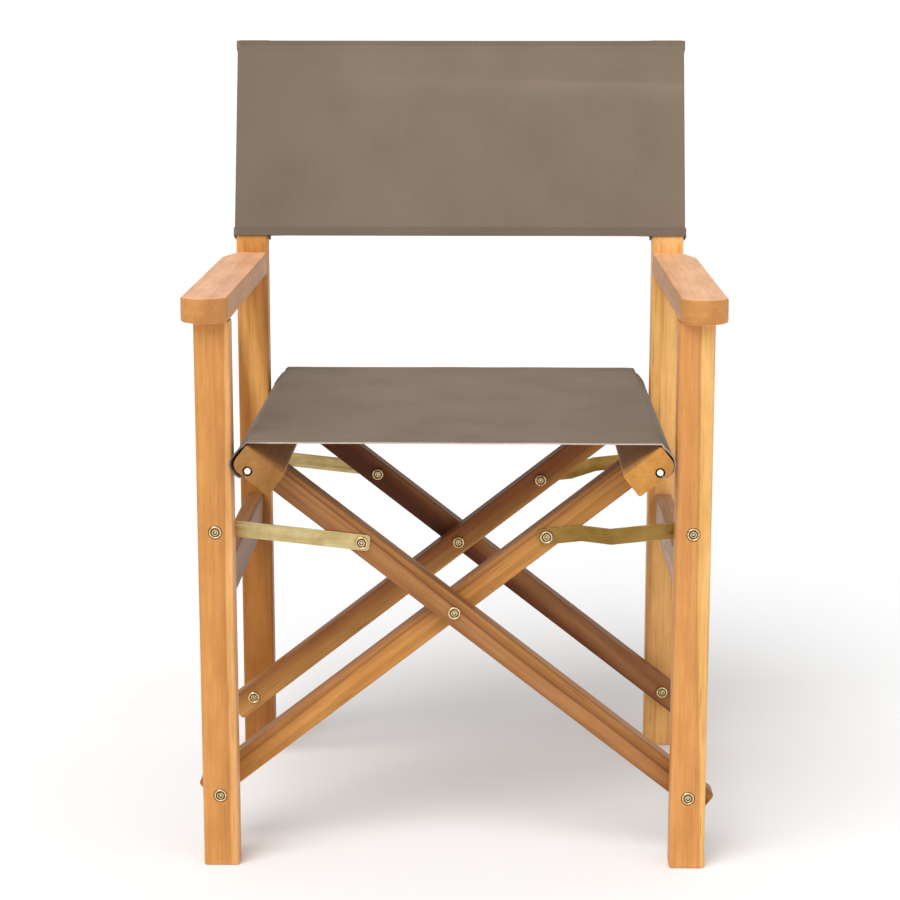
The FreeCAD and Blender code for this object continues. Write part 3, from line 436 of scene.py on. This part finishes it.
plated = metal("brass_plated_steel_polished", "#C9A872", "#E9D2A2", "#FAECCE", 0.36, 0.2)
# The dark brass is tarnish and painted shade together, for the heads' grooves and sockets.
tarnish_and_painted_shade = metal("brass_plating_tarnished_painted_shade", "#57401F", "#745730", "#94744A", 0.7, 0.55)
bodies = frame["record"]["behaviour"]["bodies"]
body_of = {name: body for body, names in bodies.items() for name in names}
bolt_rise, nut_rise, thread = 0.003, 0.004, 0.002
forward, backward = -1, 1
bolt_model = turned_head("bolt_model", bolt_rise, True)
nut_model = turned_head("nut_model", nut_rise, False)
for joint in ("foot_{}_left", "foot_{}_right", "centre_{}", "strap_bar_{}_left", "strap_bar_{}_right"):
    bolts, nuts = joint.format("bolts"), joint.format("nuts")
    (low, high), (nut_low, nut_high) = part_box(bolts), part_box(nuts)
    x, z = (low.x + high.x) / 2, (low.z + high.z) / 2
    front, rear = low.y + bolt_rise, high.y - bolt_rise
    place_heads(bolts, bolt_model, [(x, front, z, forward, nut_low.y + thread - front),
                                    (x, rear, z, backward, rear - nut_high.y + thread)])
    place_heads(nuts, nut_model, [(x, nut_low.y, z, backward, 0.0), (x, nut_high.y, z, forward, 0.0)])
for side in ("left", "right"):
    low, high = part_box("strap_post_bolts_" + side)
    x, z = (low.x + high.x) / 2, (low.z + high.z) / 2
    front, rear = low.y + bolt_rise, high.y - bolt_rise
    place_heads("strap_post_bolts_" + side, bolt_model,
                [(x, front, z, forward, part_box("front_post_" + side)[1].y - front),
                 (x, rear, z, backward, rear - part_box("rear_post_" + side)[0].y)])
bpy.data.objects.remove(bolt_model)
bpy.data.objects.remove(nut_model)
finish_nodes(plated, "foot_spacers_left", "foot_washers_right", "centre_washers")


# ---------------------------------------------------------------- straps
# Flat brass straps that stop the chair opening too far. Each is cut from 2 mm strip with rounded
# corners, bent twice, and turns on a bolt through the bar. The cut edges are broken, and painted brighter
# as a highlight, and roller lines run along the faces.

def rolled_strip(name, dark, middling, light):
    """Cold-rolled brass, lacquered. Stains 15 mm across, and roller lines that run along X."""
    material, tree, shader = new_material(name)
    spot = node(tree, "TexCoord").outputs["Object"]
    # Roller lines are 0.4 mm apart, and drawn 1 mm apart so that they show.
    drawn = node(tree, "Mapping", {"Vector": spot, "Scale": (12, 60, 900)}).outputs["Vector"]
    roll = node(tree, "TexNoise", {"Vector": drawn, "Scale": 1.0, "Detail": 3.0}).outputs["Fac"]
    stain = node(tree, "TexNoise", {"Vector": spot, "Scale": 60.0, "Detail": 5.0}).outputs["Fac"]
    tone = node(tree, "ValToRGB", {"Fac": stain}, [(0.25, linear(dark)), (0.5, linear(middling)),
                                                  (0.75, linear(light))])
    streaky = node(tree, "MapRange", {"Value": roll, "To Min": 0.84, "To Max": 1.1}).outputs["Result"]
    toned = node(tree, "Mix", {"Factor": 1.0, 6: tone.outputs["Color"], 7: streaky}, data_type="RGBA",
                 blend_type="MULTIPLY").outputs[2]
    dull = node(tree, "MapRange", {"Value": roll, "To Min": 0.34, "To Max": 0.5}).outputs["Result"]
    tree.links.new(toned, shader.inputs["Base Color"])
    tree.links.new(dull, shader.inputs["Roughness"])
    shader.inputs["Metallic"].default_value = 1.0
    return material


# The broken edges are painted brighter, as a highlight along them.
edge_brass_painted_highlight = metal("brass_edge_painted_highlight", "#D8C48C", "#E8D8A8", "#F2E8C4", 0.35, 0.25)
for side, colours in (("left", ("#BCA468", "#D2BD86", "#DECB98")),
                      ("right", ("#8A6B31", "#9C7B3F", "#A7874C"))):
    strip = rolled_strip("rolled_brass_strip_" + side, *colours)
    for name in ("strap_front_" + side, "strap_rear_" + side):
        strap = bpy.data.objects.new("eased_" + name, frame["nodes"][name].data.copy())
        bpy.context.collection.objects.link(strap)
        select_only(strap)
        strap.data.materials.clear()
        strap.data.materials.append(strip)
        strap.data.materials.append(edge_brass_painted_highlight)
        bpy.ops.object.mode_set(mode="EDIT")
        bpy.ops.mesh.select_all(action="SELECT")
        bpy.ops.mesh.remove_doubles(threshold=1e-6)
        bpy.ops.mesh.dissolve_limited(angle_limit=math.radians(0.5))
        bpy.ops.object.mode_set(mode="OBJECT")
        broken = strap.modifiers.new("broken_edges", "BEVEL")
        broken.width = 0.00045
        broken.segments = 2
        broken.limit_method = "ANGLE"
        broken.angle_limit = math.radians(50)
        broken.material = 1
        bpy.ops.object.modifier_apply(modifier="broken_edges")
        smooth(35)
        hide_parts(name)
        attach(strap, body_of[name])
    finish_nodes(strip, "strap_rivet_front_" + side, "strap_rivet_rear_" + side)

# ---------------------------------------------------------------- seat rods
# White extruded plastic rods, pushed through the hem of the seat inside the rails' grooves. Only their
# cut ends show, each with the small hollow that the saw and the extruder leave in the middle.

# Unplasticised PVC: white, smooth and a little yellowed, with scuffs 1.5 mm across.
plastic = flecked("extruded_white_pvc_rod", 700.0, 3.0, "#EDEBDD", "#FBFAF0", 0.45)[0]
rod_chamfer, rod_setback = 0.0004, 0.0004
hollow_rim, hollow_wall, hollow_depth = 0.0018, 0.0003, 0.0012
for side in ("left", "right"):
    name = "seat_rod_" + side
    low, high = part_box(name)
    # It is cut flush with the rail's front end.
    low.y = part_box("seat_rail_" + side)[0].y + rod_setback
    select_only()
    bpy.ops.mesh.primitive_cylinder_add(vertices=40, radius=(high.x - low.x) / 2,
                                        depth=high.y - low.y - 2 * rod_chamfer)
    rod = bpy.context.object
    rod.name = rod.data.name = "extruded_" + name
    pick(rod, lambda spot, facing: abs(facing.z) > 0.9)
    for inward, outward in ((rod_chamfer, rod_chamfer), (hollow_rim, 0.0), (hollow_wall, -hollow_depth)):
        bpy.ops.mesh.inset(thickness=inward, depth=outward, use_individual=True)
    bpy.ops.object.mode_set(mode="OBJECT")
    rod.data.transform(Matrix.Translation((low + high) / 2) @ Matrix.Rotation(math.pi / 2, 4, "X"))
    rod.data.materials.append(plastic)
    smooth(35)
    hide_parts(name)
    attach(rod, body_of[name])


# ---------------------------------------------------------------- seat cloth
# One piece of taupe woven polyester, hemmed at the front and the rear. It lies flat from rail to rail,
# goes round each rail's outer side and back into its groove, where a rod holds it. It sags a little in
# the middle.

def woven(name, colour, dark, light, hems, hem_tone, tones, painted_fold_highlight=0.0):
    """Plain-woven polyester canvas, coated: a matt cloth whose threads show only close up.

    hems are the two places along the cloth inside which it is single, and past them it is hem_tone times
    as light. tones are (place, lightness) pairs from one side to the other, and the last argument is the
    place of a fold, along which a highlight is painted.
    """
    material, tree, shader = new_material(name)
    laid = node(tree, "UVMap", uv_map="UVMap").outputs["UV"]
    # Threads are 0.5 mm apart, and drawn 0.8 mm apart so that they show. A wave texture of this scale
    # repeats once in each unit.
    weave = node(tree, "Mapping", {"Vector": laid, "Scale": (1250, 1250, 1)}).outputs["Vector"]
    warp, weft = (node(tree, "TexWave", {"Vector": weave, "Scale": 0.314},
                       bands_direction=way).outputs["Fac"] for way in ("X", "Y"))
    thread = node(tree, "Math", {0: warp, 1: weft}, operation="MULTIPLY").outputs[0]
    # Uneven yarn: slubs 40 mm long along both threads.
    slubs = []
    for scale in ((25, 700, 1), (700, 25, 1)):
        slub = node(tree, "Mapping", {"Vector": laid, "Scale": scale}).outputs["Vector"]
        slubs.append(node(tree, "TexNoise", {"Vector": slub, "Scale": 1.0, "Detail": 2.0}).outputs["Fac"])
    yarn = node(tree, "Math", {0: slubs[0], 1: slubs[1]}, operation="ADD").outputs[0]
    # Handling: soft patches 80 mm across.
    worn = node(tree, "TexNoise", {"Vector": laid, "Scale": 12.0, "Detail": 3.0}).outputs["Fac"]
    toned = node(tree, "ValToRGB", {"Fac": worn}, [(0.25, linear(dark)), (0.5, linear(colour)),
                                                  (0.78, linear(light))]).outputs["Color"]
    places = node(tree, "SeparateXYZ", {"Vector": laid}).outputs
    tints = []
    for hem, before, after in ((hems[0], hem_tone, 1.0), (hems[1], 1.0, hem_tone)):
        tints.append(node(tree, "MapRange", {"Value": places["Y"], "From Min": hem - 0.0006,
                                             "From Max": hem + 0.0006, "To Min": before,
                                             "To Max": after}).outputs["Result"])
    # It is lighter or darker from side to side: on the seat this is painted shade, darkest on the right,
    # and the back is darker towards the left.
    reach = 0.3
    side = node(tree, "MapRange", {"Value": places["X"], "From Min": -reach, "From Max": reach})
    side = side.outputs["Result"]
    side_tones = [((x + reach) / (2 * reach), (tone, tone, tone, 1.0)) for x, tone in tones]
    tints.append(node(tree, "ValToRGB", {"Fac": side}, side_tones).outputs["Color"])
    # Along the fold a highlight is painted, strongest on the right, as the fold's upper side catching the
    # light.
    level = node(tree, "Math", {0: places["X"], 1: 0.02, 2: places["Y"]}, operation="MULTIPLY_ADD")
    level = node(tree, "MapRange", {"Value": level.outputs[0], "From Min": painted_fold_highlight - 0.02,
                                    "From Max": painted_fold_highlight + 0.02}).outputs["Result"]
    ridge = [(0.0, 0.0), (0.4, 0.45), (0.6, 1.0), (0.72, 0.2), (1.0, 0.0)]
    ridge = node(tree, "ValToRGB", {"Fac": level}, [(at, (up, up, up, 1.0)) for at, up in ridge])
    most = node(tree, "MapRange", {"Value": side, "From Min": 0.2, "From Max": 0.85,
                                   "To Max": 0.15 if painted_fold_highlight else 0.0}).outputs["Result"]
    tints.append(node(tree, "Math", {0: ridge.outputs["Color"], 1: most, 2: 1.0},
                      operation="MULTIPLY_ADD").outputs[0])
    tints.append(node(tree, "MapRange", {"Value": yarn, "From Min": 0.6, "From Max": 1.4, "To Min": 0.96,
                                         "To Max": 1.04}).outputs["Result"])
    tints.append(node(tree, "MapRange", {"Value": thread, "To Min": 0.94,
                                         "To Max": 1.02}).outputs["Result"])
    for tint in tints:
        toned = node(tree, "Mix", {"Factor": 1.0, 6: toned, 7: tint}, data_type="RGBA",
                     blend_type="MULTIPLY").outputs[2]
    relief = node(tree, "Bump", {"Height": thread, "Strength": 0.35, "Distance": 0.0003}).outputs["Normal"]
    tree.links.new(toned, shader.inputs["Base Color"])
    tree.links.new(relief, shader.inputs["Normal"])
    for socket, value in (("Roughness", 0.8), ("Specular IOR Level", 0.25), ("Sheen Weight", 0.05),
                          ("Sheen Roughness", 0.5)):
        shader.inputs[socket].default_value = value
    return material


def lay_cloth(name, across, along, lay, thickness, finishes, hem_at, hem_width):
    """A cloth cut to those thread places, laid by lay(across, along, height), and doubled at its hems.

    finishes are the materials of its faces and of its cut or folded edge.
    """
    select_only()
    bpy.ops.mesh.primitive_grid_add(x_subdivisions=len(across) - 1, y_subdivisions=len(along) - 1, size=1)
    cloth = bpy.context.object
    cloth.name = cloth.data.name = name
    flat = {}
    for vertex in cloth.data.vertices:
        column = round((vertex.co.x + 0.5) * (len(across) - 1))
        row = round((vertex.co.y + 0.5) * (len(along) - 1))
        flat[vertex.index] = (across[column], along[row])
    hemmed = cloth.vertex_groups.new(name="hem")
    for index, (a, b) in flat.items():
        doubled = min(abs(b - at) for at in hem_at) < hem_width
        hemmed.add([index], 1.0 if doubled else 0.5, "REPLACE")
        cloth.data.vertices[index].co = lay(a, b, 0.0)
    for corner in cloth.data.loops:
        cloth.data.uv_layers["UVMap"].data[corner.index].uv = flat[corner.vertex_index]
    # The edge's material is counted from the faces' own, so both are on the cloth first.
    for finish in finishes:
        cloth.data.materials.append(finish)
    solid = cloth.modifiers.new("thickness", "SOLIDIFY")
    solid.thickness = 2 * thickness
    solid.offset = 0.0
    solid.vertex_group = "hem"
    solid.use_even_offset = True
    solid.material_offset_rim = 1
    bpy.ops.object.modifier_apply(modifier="thickness")
    smooth(40)
    return cloth


def spaced(low, high, step, fine=(), fine_step=0.001, margin=0.004):
    """Places from low to high a step apart, and closer together near the fine ones."""
    count = round((high - low) / step)
    places = {round(low, 6), round(high, 6)}
    places |= {round(low + (high - low) * i / count, 6) for i in range(count)}
    for at in fine:
        places |= {round(at - margin + fine_step * i, 6) for i in range(round(2 * margin / fine_step) + 1)}
    places = sorted(p for p in places if low <= p <= high)
    closest, kept = 0.0004, [places[0]]
    for place in places[1:]:
        if place - kept[-1] > closest:
            kept.append(place)
    return kept


def place_on(run, reach):
    """The step of a path that a length along it falls in, and the share of that step."""
    reach = min(max(reach, 0.0), run[-1])
    step = max(i for i in range(len(run) - 1) if run[i] <= reach + 1e-9)
    return step, (reach - run[step]) / max(run[step + 1] - run[step], 1e-9)


stitch_half, stitch_pitch = Vector((0.0015, 0.0004, 0.0003)), 0.004


def sew(name, lines, lay, thread):
    """Rows of stitches, each 3 mm long and 4 mm apart, sewn in the flat and laid as the cloth is."""
    rows = []
    for start, end in lines:
        select_only()
        bpy.ops.mesh.primitive_uv_sphere_add(segments=6, ring_count=4, radius=1.0)
        stitch = bpy.context.object
        run = Vector(end) - Vector(start)
        turn = math.atan2(run.y, run.x)
        for vertex in stitch.data.vertices:
            vertex.co = vertex.co * stitch_half
        row = stitch.modifiers.new("row", "ARRAY")
        row.count = int(run.length / stitch_pitch)
        row.use_relative_offset = False
        row.use_constant_offset = True
        row.constant_offset_displace = (stitch_pitch, 0, 0)
        bpy.ops.object.modifier_apply(modifier="row")
        c, s = math.cos(turn), math.sin(turn)
        for vertex in stitch.data.vertices:
            x, y = vertex.co.x + stitch_pitch / 2, vertex.co.y
            vertex.co = (start[0] + x * c - y * s, start[1] + x * s + y * c, vertex.co.z)
        rows.append(stitch)
    select_only(*rows)
    bpy.ops.object.join()
    sewn = bpy.context.object
    sewn.name = sewn.data.name = name
    for vertex in sewn.data.vertices:
        vertex.co = lay(vertex.co.x, vertex.co.y, vertex.co.z)
    sewn.data.materials.append(thread)
    bpy.ops.object.shade_smooth()
    return sewn


seat_low, seat_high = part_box("seat_fabric")
rod = middle("seat_rod_right")
# The groove's place from the rail's middle, and the rail's section.
groove_out, groove_down = 0.0075, 0.0068
rail_wide, rail_thick, rail_round = 0.0504, 0.0284, 0.011
rise = Vector((math.cos(bar_angle), 0, math.sin(bar_angle)))
drop = Vector((math.sin(bar_angle), 0, -math.cos(bar_angle)))
rail = rod - rise * groove_out - drop * groove_down
seat_thickness = 0.0008
clear = 0.0003 + seat_thickness
flat_level = seat_high.z + 0.0006
post_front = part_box("front_post_left")[0].y


def wrap_round(top, face, corner, under):
    """The cloth's path from the seat's middle to a groove, and how far it stands off the rail.

    Each point is (spot, way out of the rail, slack there), for the right side. top, face, corner and
    under are the slack at four places round the rail.
    """
    straight_up = Vector((0, 0, 1))
    points = [(Vector((0, 0, flat_level)), straight_up, 0.0)]
    edge = rail + rise * (rail_wide / 2 - rail_round) - drop * (rail_thick / 2 - rail_round)
    # It stays flat until 2 mm before the place where it touches the rail's round.
    leaves = edge.x + (rail_round + clear) * math.sin(math.radians(25)) - 0.002
    points += [(Vector((x, 0, flat_level)), straight_up, 0.0)
               for x in (leaves - 0.012, leaves - 0.006, leaves)]
    upper = (rail_wide / 2 - rail_round, rail_round - rail_thick / 2)
    lower = (rail_wide / 2 - rail_round, rail_thick / 2 - rail_round)
    for angle, (out, down), slack in (
        (58, upper, top), (70, upper, top), (80, upper, face), (90, upper, face), (90, lower, face),
        (105, lower, (face + corner) / 2), (120, lower, corner), (135, lower, corner), (150, lower, corner),
        (165, lower, (corner + under) / 2), (180, lower, under),
    ):
        way = rise * math.sin(math.radians(angle)) - drop * math.cos(math.radians(angle))
        points.append((rail + rise * out + drop * down + way * (rail_round + clear), way, slack))
    # Under the rail it turns up through the slot, as (further out than the groove, down, slack).
    below = rail_thick / 2 + clear
    for further, down, slack in ((0.0026, below, under), (0.0012, below - 0.0006, under / 2),
                                 (0.0006, below - 0.0022, 0.0), (0.0, groove_down + 0.0042, 0.0)):
        points.append((rail + rise * (groove_out + further) + drop * down, drop, slack))
    for _ in range(2):
        softer = [points[0]]
        for one, two in zip(points, points[1:]):
            softer += [tuple(a + (b - a) * share for a, b in zip(one, two)) for share in (0.25, 0.75)]
        points = softer + [points[-1]]
    run = [0.0]
    for one, two in zip(points, points[1:]):
        run.append(run[-1] + (two[0] + two[1] * two[2] - one[0] - one[1] * one[2]).length)
    return points, run


# The left hem hangs slack under its rail, and the right one is drawn tight.
wraps = {-1: wrap_round(0.0028, 0.0023, 0.0036, 0.0032), 1: wrap_round(0.0021, 0.0017, 0.0006, 0.0002)}
cuts = {side: run[-1] for side, (points, run) in wraps.items()}
flat_half = wraps[1][0][-1][0].x
seat_sag = 0.0045


def lay_seat(across, along, height):
    """Where a thread crossing of the seat lies: across from the middle, along from front to rear."""
    side = -1 if across < 0 else 1
    points, run = wraps[side]
    step, share = place_on(run, abs(across))
    spot, way, slack = (a + (b - a) * share for a, b in zip(points[step], points[step + 1]))
    way = way.normalized()
    # The cloth is pressed between the rail and the post, and free in front of the post.
    free = 0.45 + 0.55 * min(max((post_front - 0.001 - along) / 0.012, 0.0), 1.0)
    depth = min(max((along - seat_low.y) / (seat_high.y - seat_low.y), 0.0), 1.0)
    held = max(0.0, 1 - (spot.x / flat_half) ** 2)
    sag = seat_sag * held * math.sin(math.pi * depth) ** 0.8
    # Soft ripples under a millimetre high, along and aslant.
    ripple = noise.noise(Vector((across * 5, along * 26, 2.0))) * 0.0006
    ripple += noise.noise(Vector((across * 9 + along * 7, along * 40 - across * 12, 6.0))) * 0.0004
    spot = spot + way * (slack * free + height + ripple * held ** 0.5)
    return Vector((side * spot.x, along, spot.z - sag))


seat_hem = 0.016
hems = (seat_low.y + seat_hem, seat_high.y - seat_hem)
fine = (seat_low.y + 0.002, hems[0], hems[1], seat_high.y - 0.002)
turning = [side * (cuts[side] - back) for side in (-1, 1)
           for back in (0.006, 0.016, 0.026, 0.036, 0.046, 0.056)]
across = spaced(-cuts[-1], cuts[1], 0.008, turning, 0.0015, 0.006)
along = spaced(seat_low.y, seat_high.y, 0.007, fine)
# From side to side the seat's tones are painted shade, darkest on the right.
taupe = woven("woven_polyester_canvas_seat", "#7F7060", "#766757", "#857666", hems, 1.02,
              [(-0.3, 1.04), (0.1, 0.98), (0.3, 0.84)])
# Where it is cut or folded, the edge is painted paler, as a painted highlight of the front light on it.
# Round the rails it is painted darker, as painted shade, most on the left.
cut_edge, tree, shader = flecked("canvas_edge_painted_highlight_and_shade", 800.0, 2.0, "#A8978A", "#CDBFB2", 0.85)
place = node(tree, "TexCoord").outputs["Object"]
place = node(tree, "SeparateXYZ", {"Vector": place}).outputs["X"]
place = node(tree, "MapRange", {"Value": place, "From Min": -0.25, "From Max": 0.25}).outputs["Result"]
painted_shade_tint = node(tree, "ValToRGB", {"Fac": place}, [(0.05, linear("#8F8A86")), (0.12, linear("#FFFFFF")),
                                              (0.93, linear("#FFFFFF")), (0.97, linear("#B4B0AC"))])
toned = node(tree, "Mix", {"Factor": 1.0, 6: shader.inputs["Base Color"].links[0].from_socket,
                           7: painted_shade_tint.outputs["Color"]}, data_type="RGBA", blend_type="MULTIPLY").outputs[2]
tree.links.new(toned, shader.inputs["Base Color"])
seat = lay_cloth("seat_cloth", across, along, lay_seat, seat_thickness, [taupe, cut_edge],
                 (seat_low.y, seat_high.y), seat_hem)
# Spun polyester: a matt thread, a shade off the cloth, whose twist shows as flecks.
thread = flecked("spun_polyester_thread", 900.0, 2.0, "#6A5D50", "#8A7B6B", 0.6)[0]
lift, row_in, row_short = seat_thickness + 0.0001, 0.002, 0.03
seat_stitches = sew(
    "seat_stitches",
    [((row_short - cuts[-1], at), (cuts[1] - row_short, at))
     for at in (hems[0] - row_in, hems[1] + row_in)],
    lambda a, b, up: lay_seat(a, b, up + lift), thread)
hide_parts("seat_fabric")
for piece in (seat, seat_stitches):
    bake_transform(piece)

# ---------------------------------------------------------------- back cloth
# The same cloth, hemmed at the top and the foot. Its ends are lapped round the leaning posts and sewn
# down as sleeves, so it slides off the posts' tips. The panel between them is pulled nearly flat.

lean, bend_level, post_deep = math.radians(16.5), 0.635, 0.026
post_low, post_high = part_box("rear_post_right")
up_post = Vector((0, math.sin(lean), math.cos(lean)))
ahead = Vector((0, -math.cos(lean), math.sin(lean)))
heel = Vector((0, post_low.y, bend_level))
back_start = 0.0125
back_end = (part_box("rear_post_left")[1].z - bend_level - 0.001) / math.cos(lean)
back_hem, narrow_hem = 0.0115, 0.0115 * 0.55
post_across, half_post = (post_low.x + post_high.x) / 2, post_width / 2
corner = post_across + half_post
layer = 0.0008
sleeve_front = -0.0003 - layer / 2
panel_level = 0.0003 + layer + 0.0001 + layer / 2
panel_half = corner + 0.0026
# The panel's edge turns round the post's corner: where the turn starts, its length and its radius.
turn_start, turn_run, turn_radius = 0.0004, 0.0030, 0.0019


def lay_panel(across, along, height):
    """Where a thread crossing of the panel lies: across the chair, and along up the posts."""
    share = (along - back_start) / (back_end - back_start)
    free = max(0.0, 1 - (across / (post_across - half_post)) ** 2) ** 0.5
    # A soft fold runs across at three quarters of the height, strongest on the right, and a second one
    # above the hem.
    strong = 0.5 + 1.5 * across / post_across if across > 0 else 0.5
    fold = -0.0011 * strong * math.tanh((share - 0.775 + 0.02 * across / 0.25) / 0.028)
    fold += 0.0007 * max(across / post_across, 0) * math.exp(-((share - 0.09) / 0.03) ** 2)
    fold += 0.0008 * noise.noise(Vector((across * 4, along * 18, 5.0)))
    hollow = -0.0015 * math.sin(math.pi * share)
    # The hem at the foot curls back a little.
    curl = -0.0016 * max(0.0, 1 - (along - back_start) / back_hem)
    past = max(0.0, abs(across) - corner + turn_start)
    turned = min(past / turn_run, 1.0) * math.pi / 2
    x = min(abs(across), corner - turn_start) + turn_radius * math.sin(turned)
    level = panel_level - turn_radius * (1 - math.cos(turned)) + (fold + hollow + curl) * free
    at = heel + up_post * along + ahead * (level + height * math.cos(turned))
    return Vector((math.copysign(x + height * math.sin(turned), across), at.y, at.z))


across = spaced(-panel_half, panel_half, 0.008, (-corner, corner), 0.0006, 0.003)
along = spaced(back_start, back_end, 0.005,
               (back_start + 0.001, back_start + back_hem, back_end - back_hem, back_end - 0.001))
# A highlight is painted along the back's fold, and the back is darker towards the left.
taupe_back = woven("woven_polyester_canvas_back", "#807161", "#7B6C5C", "#847565",
                   (back_start + back_hem, back_end - narrow_hem), 0.87,
                   [(-0.3, 0.86), (-0.22, 0.89), (-0.12, 1.0), (0.3, 0.97)],
                   painted_fold_highlight=back_start + 0.775 * (back_end - back_start))
panel = lay_cloth("back_panel", across, along, lay_panel, layer, [taupe_back, taupe_back],
                  (back_start, back_end), back_hem)
hem_rows = (back_start + back_hem - 0.0015, back_end - narrow_hem + 0.0015)

# A sleeve's path round its post, as (outward, rearward) from the middle of the post's front face: along
# the front, round the outer side, along the rear, and up the inner side. Its tail comes forward behind
# the panel and is sewn to it beside the post.
loop = [(-half_post, sleeve_front), (0.0, sleeve_front), (half_post - 0.002, sleeve_front),
        (half_post + 0.0010, sleeve_front + 0.0004), (half_post + 0.0012, 0.006),
        (half_post + 0.0013, post_deep - 0.002), (half_post + 0.001, post_deep + 0.0012),
        (half_post - 0.003, post_deep + 0.0014), (-half_post + 0.003, post_deep + 0.0014),
        (-half_post - 0.001, post_deep + 0.001), (-half_post - 0.0014, post_deep - 0.004),
        (-half_post - 0.0017, 0.008), (-half_post - 0.003, 0.0016), (-half_post - 0.006, -0.0004),
        (-half_post - 0.011, -0.0006), (-half_post - 0.022, -0.0006)]
loop = [Vector((x, y, 0)) for x, y in loop]
for _ in range(3):
    softer = [loop[0]]
    for one, two in zip(loop, loop[1:]):
        softer += [one.lerp(two, 0.25), one.lerp(two, 0.75)]
    loop = softer + [loop[-1]]
turns = [0.0]
for one, two in zip(loop, loop[1:]):
    turns.append(turns[-1] + (two - one).length)
sleeve_run = turns[-1]


def lay_sleeve(side):
    """The way that the sleeve of that side lies."""
    def lay(around, along, height):
        step, share = place_on(turns, around)
        at = loop[step].lerp(loop[step + 1], share)
        run = (loop[step + 1] - loop[step]).normalized()
        out = Vector((run.y, -run.x, 0))
        # The hems stand out round the post's outer side, where they are doubled.
        edge = min(along - back_start, back_end - along)
        hem = 0.0016 * min(max((back_hem - edge) / 0.002, 0.0), 1.0)
        outer = min(max((at.x - half_post + 0.004) / 0.004, 0.0), 1.0)
        at = at + out * (height + hem * outer)
        spot = heel + up_post * along - ahead * at.y
        return Vector((side * (post_across + at.x), spot.y, spot.z))
    return lay


for side, name in ((-1, "left"), (1, "right")):
    lay = lay_sleeve(side)
    around = spaced(0.0, sleeve_run, 0.004, [sleeve_run * share for share in (0.29, 0.49, 0.76)],
                    0.001, 0.007)
    sleeve = lay_cloth("back_sleeve_" + name, around, along, lay, layer, [taupe_back, taupe_back],
                       (back_start, back_end), back_hem)
    # One row up the seam, and one along each hem from the post's outer side to the seam.
    seam = sleeve_run - 0.004
    rows = [((seam, back_start + 0.001), (seam, back_end - 0.001))]
    rows += [((post_width + 0.006, at), (sleeve_run - 0.01, at)) for at in hem_rows]
    stitches = sew("back_stitches_" + name, rows, lambda a, b, up, lay=lay: lay(a, b, up + layer), thread)
    for piece in (sleeve, stitches):
        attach(piece, "side_frame_" + name)
panel_stitches = sew(
    "back_stitches_panel", [((0.002 - corner, at), (corner - 0.002, at)) for at in hem_rows],
    lambda a, b, up: lay_panel(a, b, up + layer), thread)
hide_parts("back_fabric")
for piece in (panel, panel_stitches):
    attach(piece, "side_frame_left")
    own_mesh(piece)

# ---------------------------------------------------------------- studio
# The chair stands on a plain pale floor in soft white light, a little stronger from the front left. It
# is seen from the front and a little above, through a long lens.

select_only()
bpy.ops.mesh.primitive_plane_add(size=3000, location=(0, 0, cad_box[0].z))
floor = bpy.context.object
floor.name = "studio_floor"
# Matt white paper, with faint broad clouds.
paper, tree, shader = flecked("matt_white_paper", 2.0, 2.0, "#F9F9F9", "#FBFBFB", 1.0, 0.0, 1.0)
shader.inputs["Specular IOR Level"].default_value = 0.0
floor.data.materials.append(paper)

world = bpy.data.worlds.new("soft_white_room")
world.use_nodes = True
sky = world.node_tree.nodes["Background"]
sky.inputs["Color"].default_value = (1.0, 1.0, 1.0, 1.0)
# The room's walls give 0.6 of white light, and look white behind the floor's edge.
seen = node(world.node_tree, "LightPath").outputs["Is Camera Ray"]
strength = node(world.node_tree, "MapRange", {"Value": seen, "To Min": 0.6, "To Max": 1.05})
world.node_tree.links.new(strength.outputs["Result"], sky.inputs["Strength"])
bpy.context.scene.world = world
lit_spot = Vector((0, 0, 0.45))
for name, spread, energy, place in (("key_light", 45, 1.9, (-1.1, -1.9, 3.2)),
                                    ("fill_light", 60, 0.4, (2.4, -2.8, 1.9))):
    bpy.ops.object.light_add(type="SUN", location=place)
    light = bpy.context.object
    light.name = name
    light.data.angle = math.radians(spread)
    light.data.energy = energy
    light.rotation_euler = (lit_spot - Vector(place)).to_track_quat("-Z", "Y").to_euler()

camera_tilt, camera_turn = 0.18305, 0.01907
bpy.ops.object.camera_add(location=(0.0382, -2.4494, 0.9324))
camera = bpy.context.object
camera.rotation_euler = (math.pi / 2 - camera_tilt, 0, camera_turn)
camera.data.sensor_width = 36.0
camera.data.lens = 86.06
camera.data.shift_y = -0.06
bpy.context.scene.camera = camera
bpy.context.scene.view_settings.view_transform = "Standard"
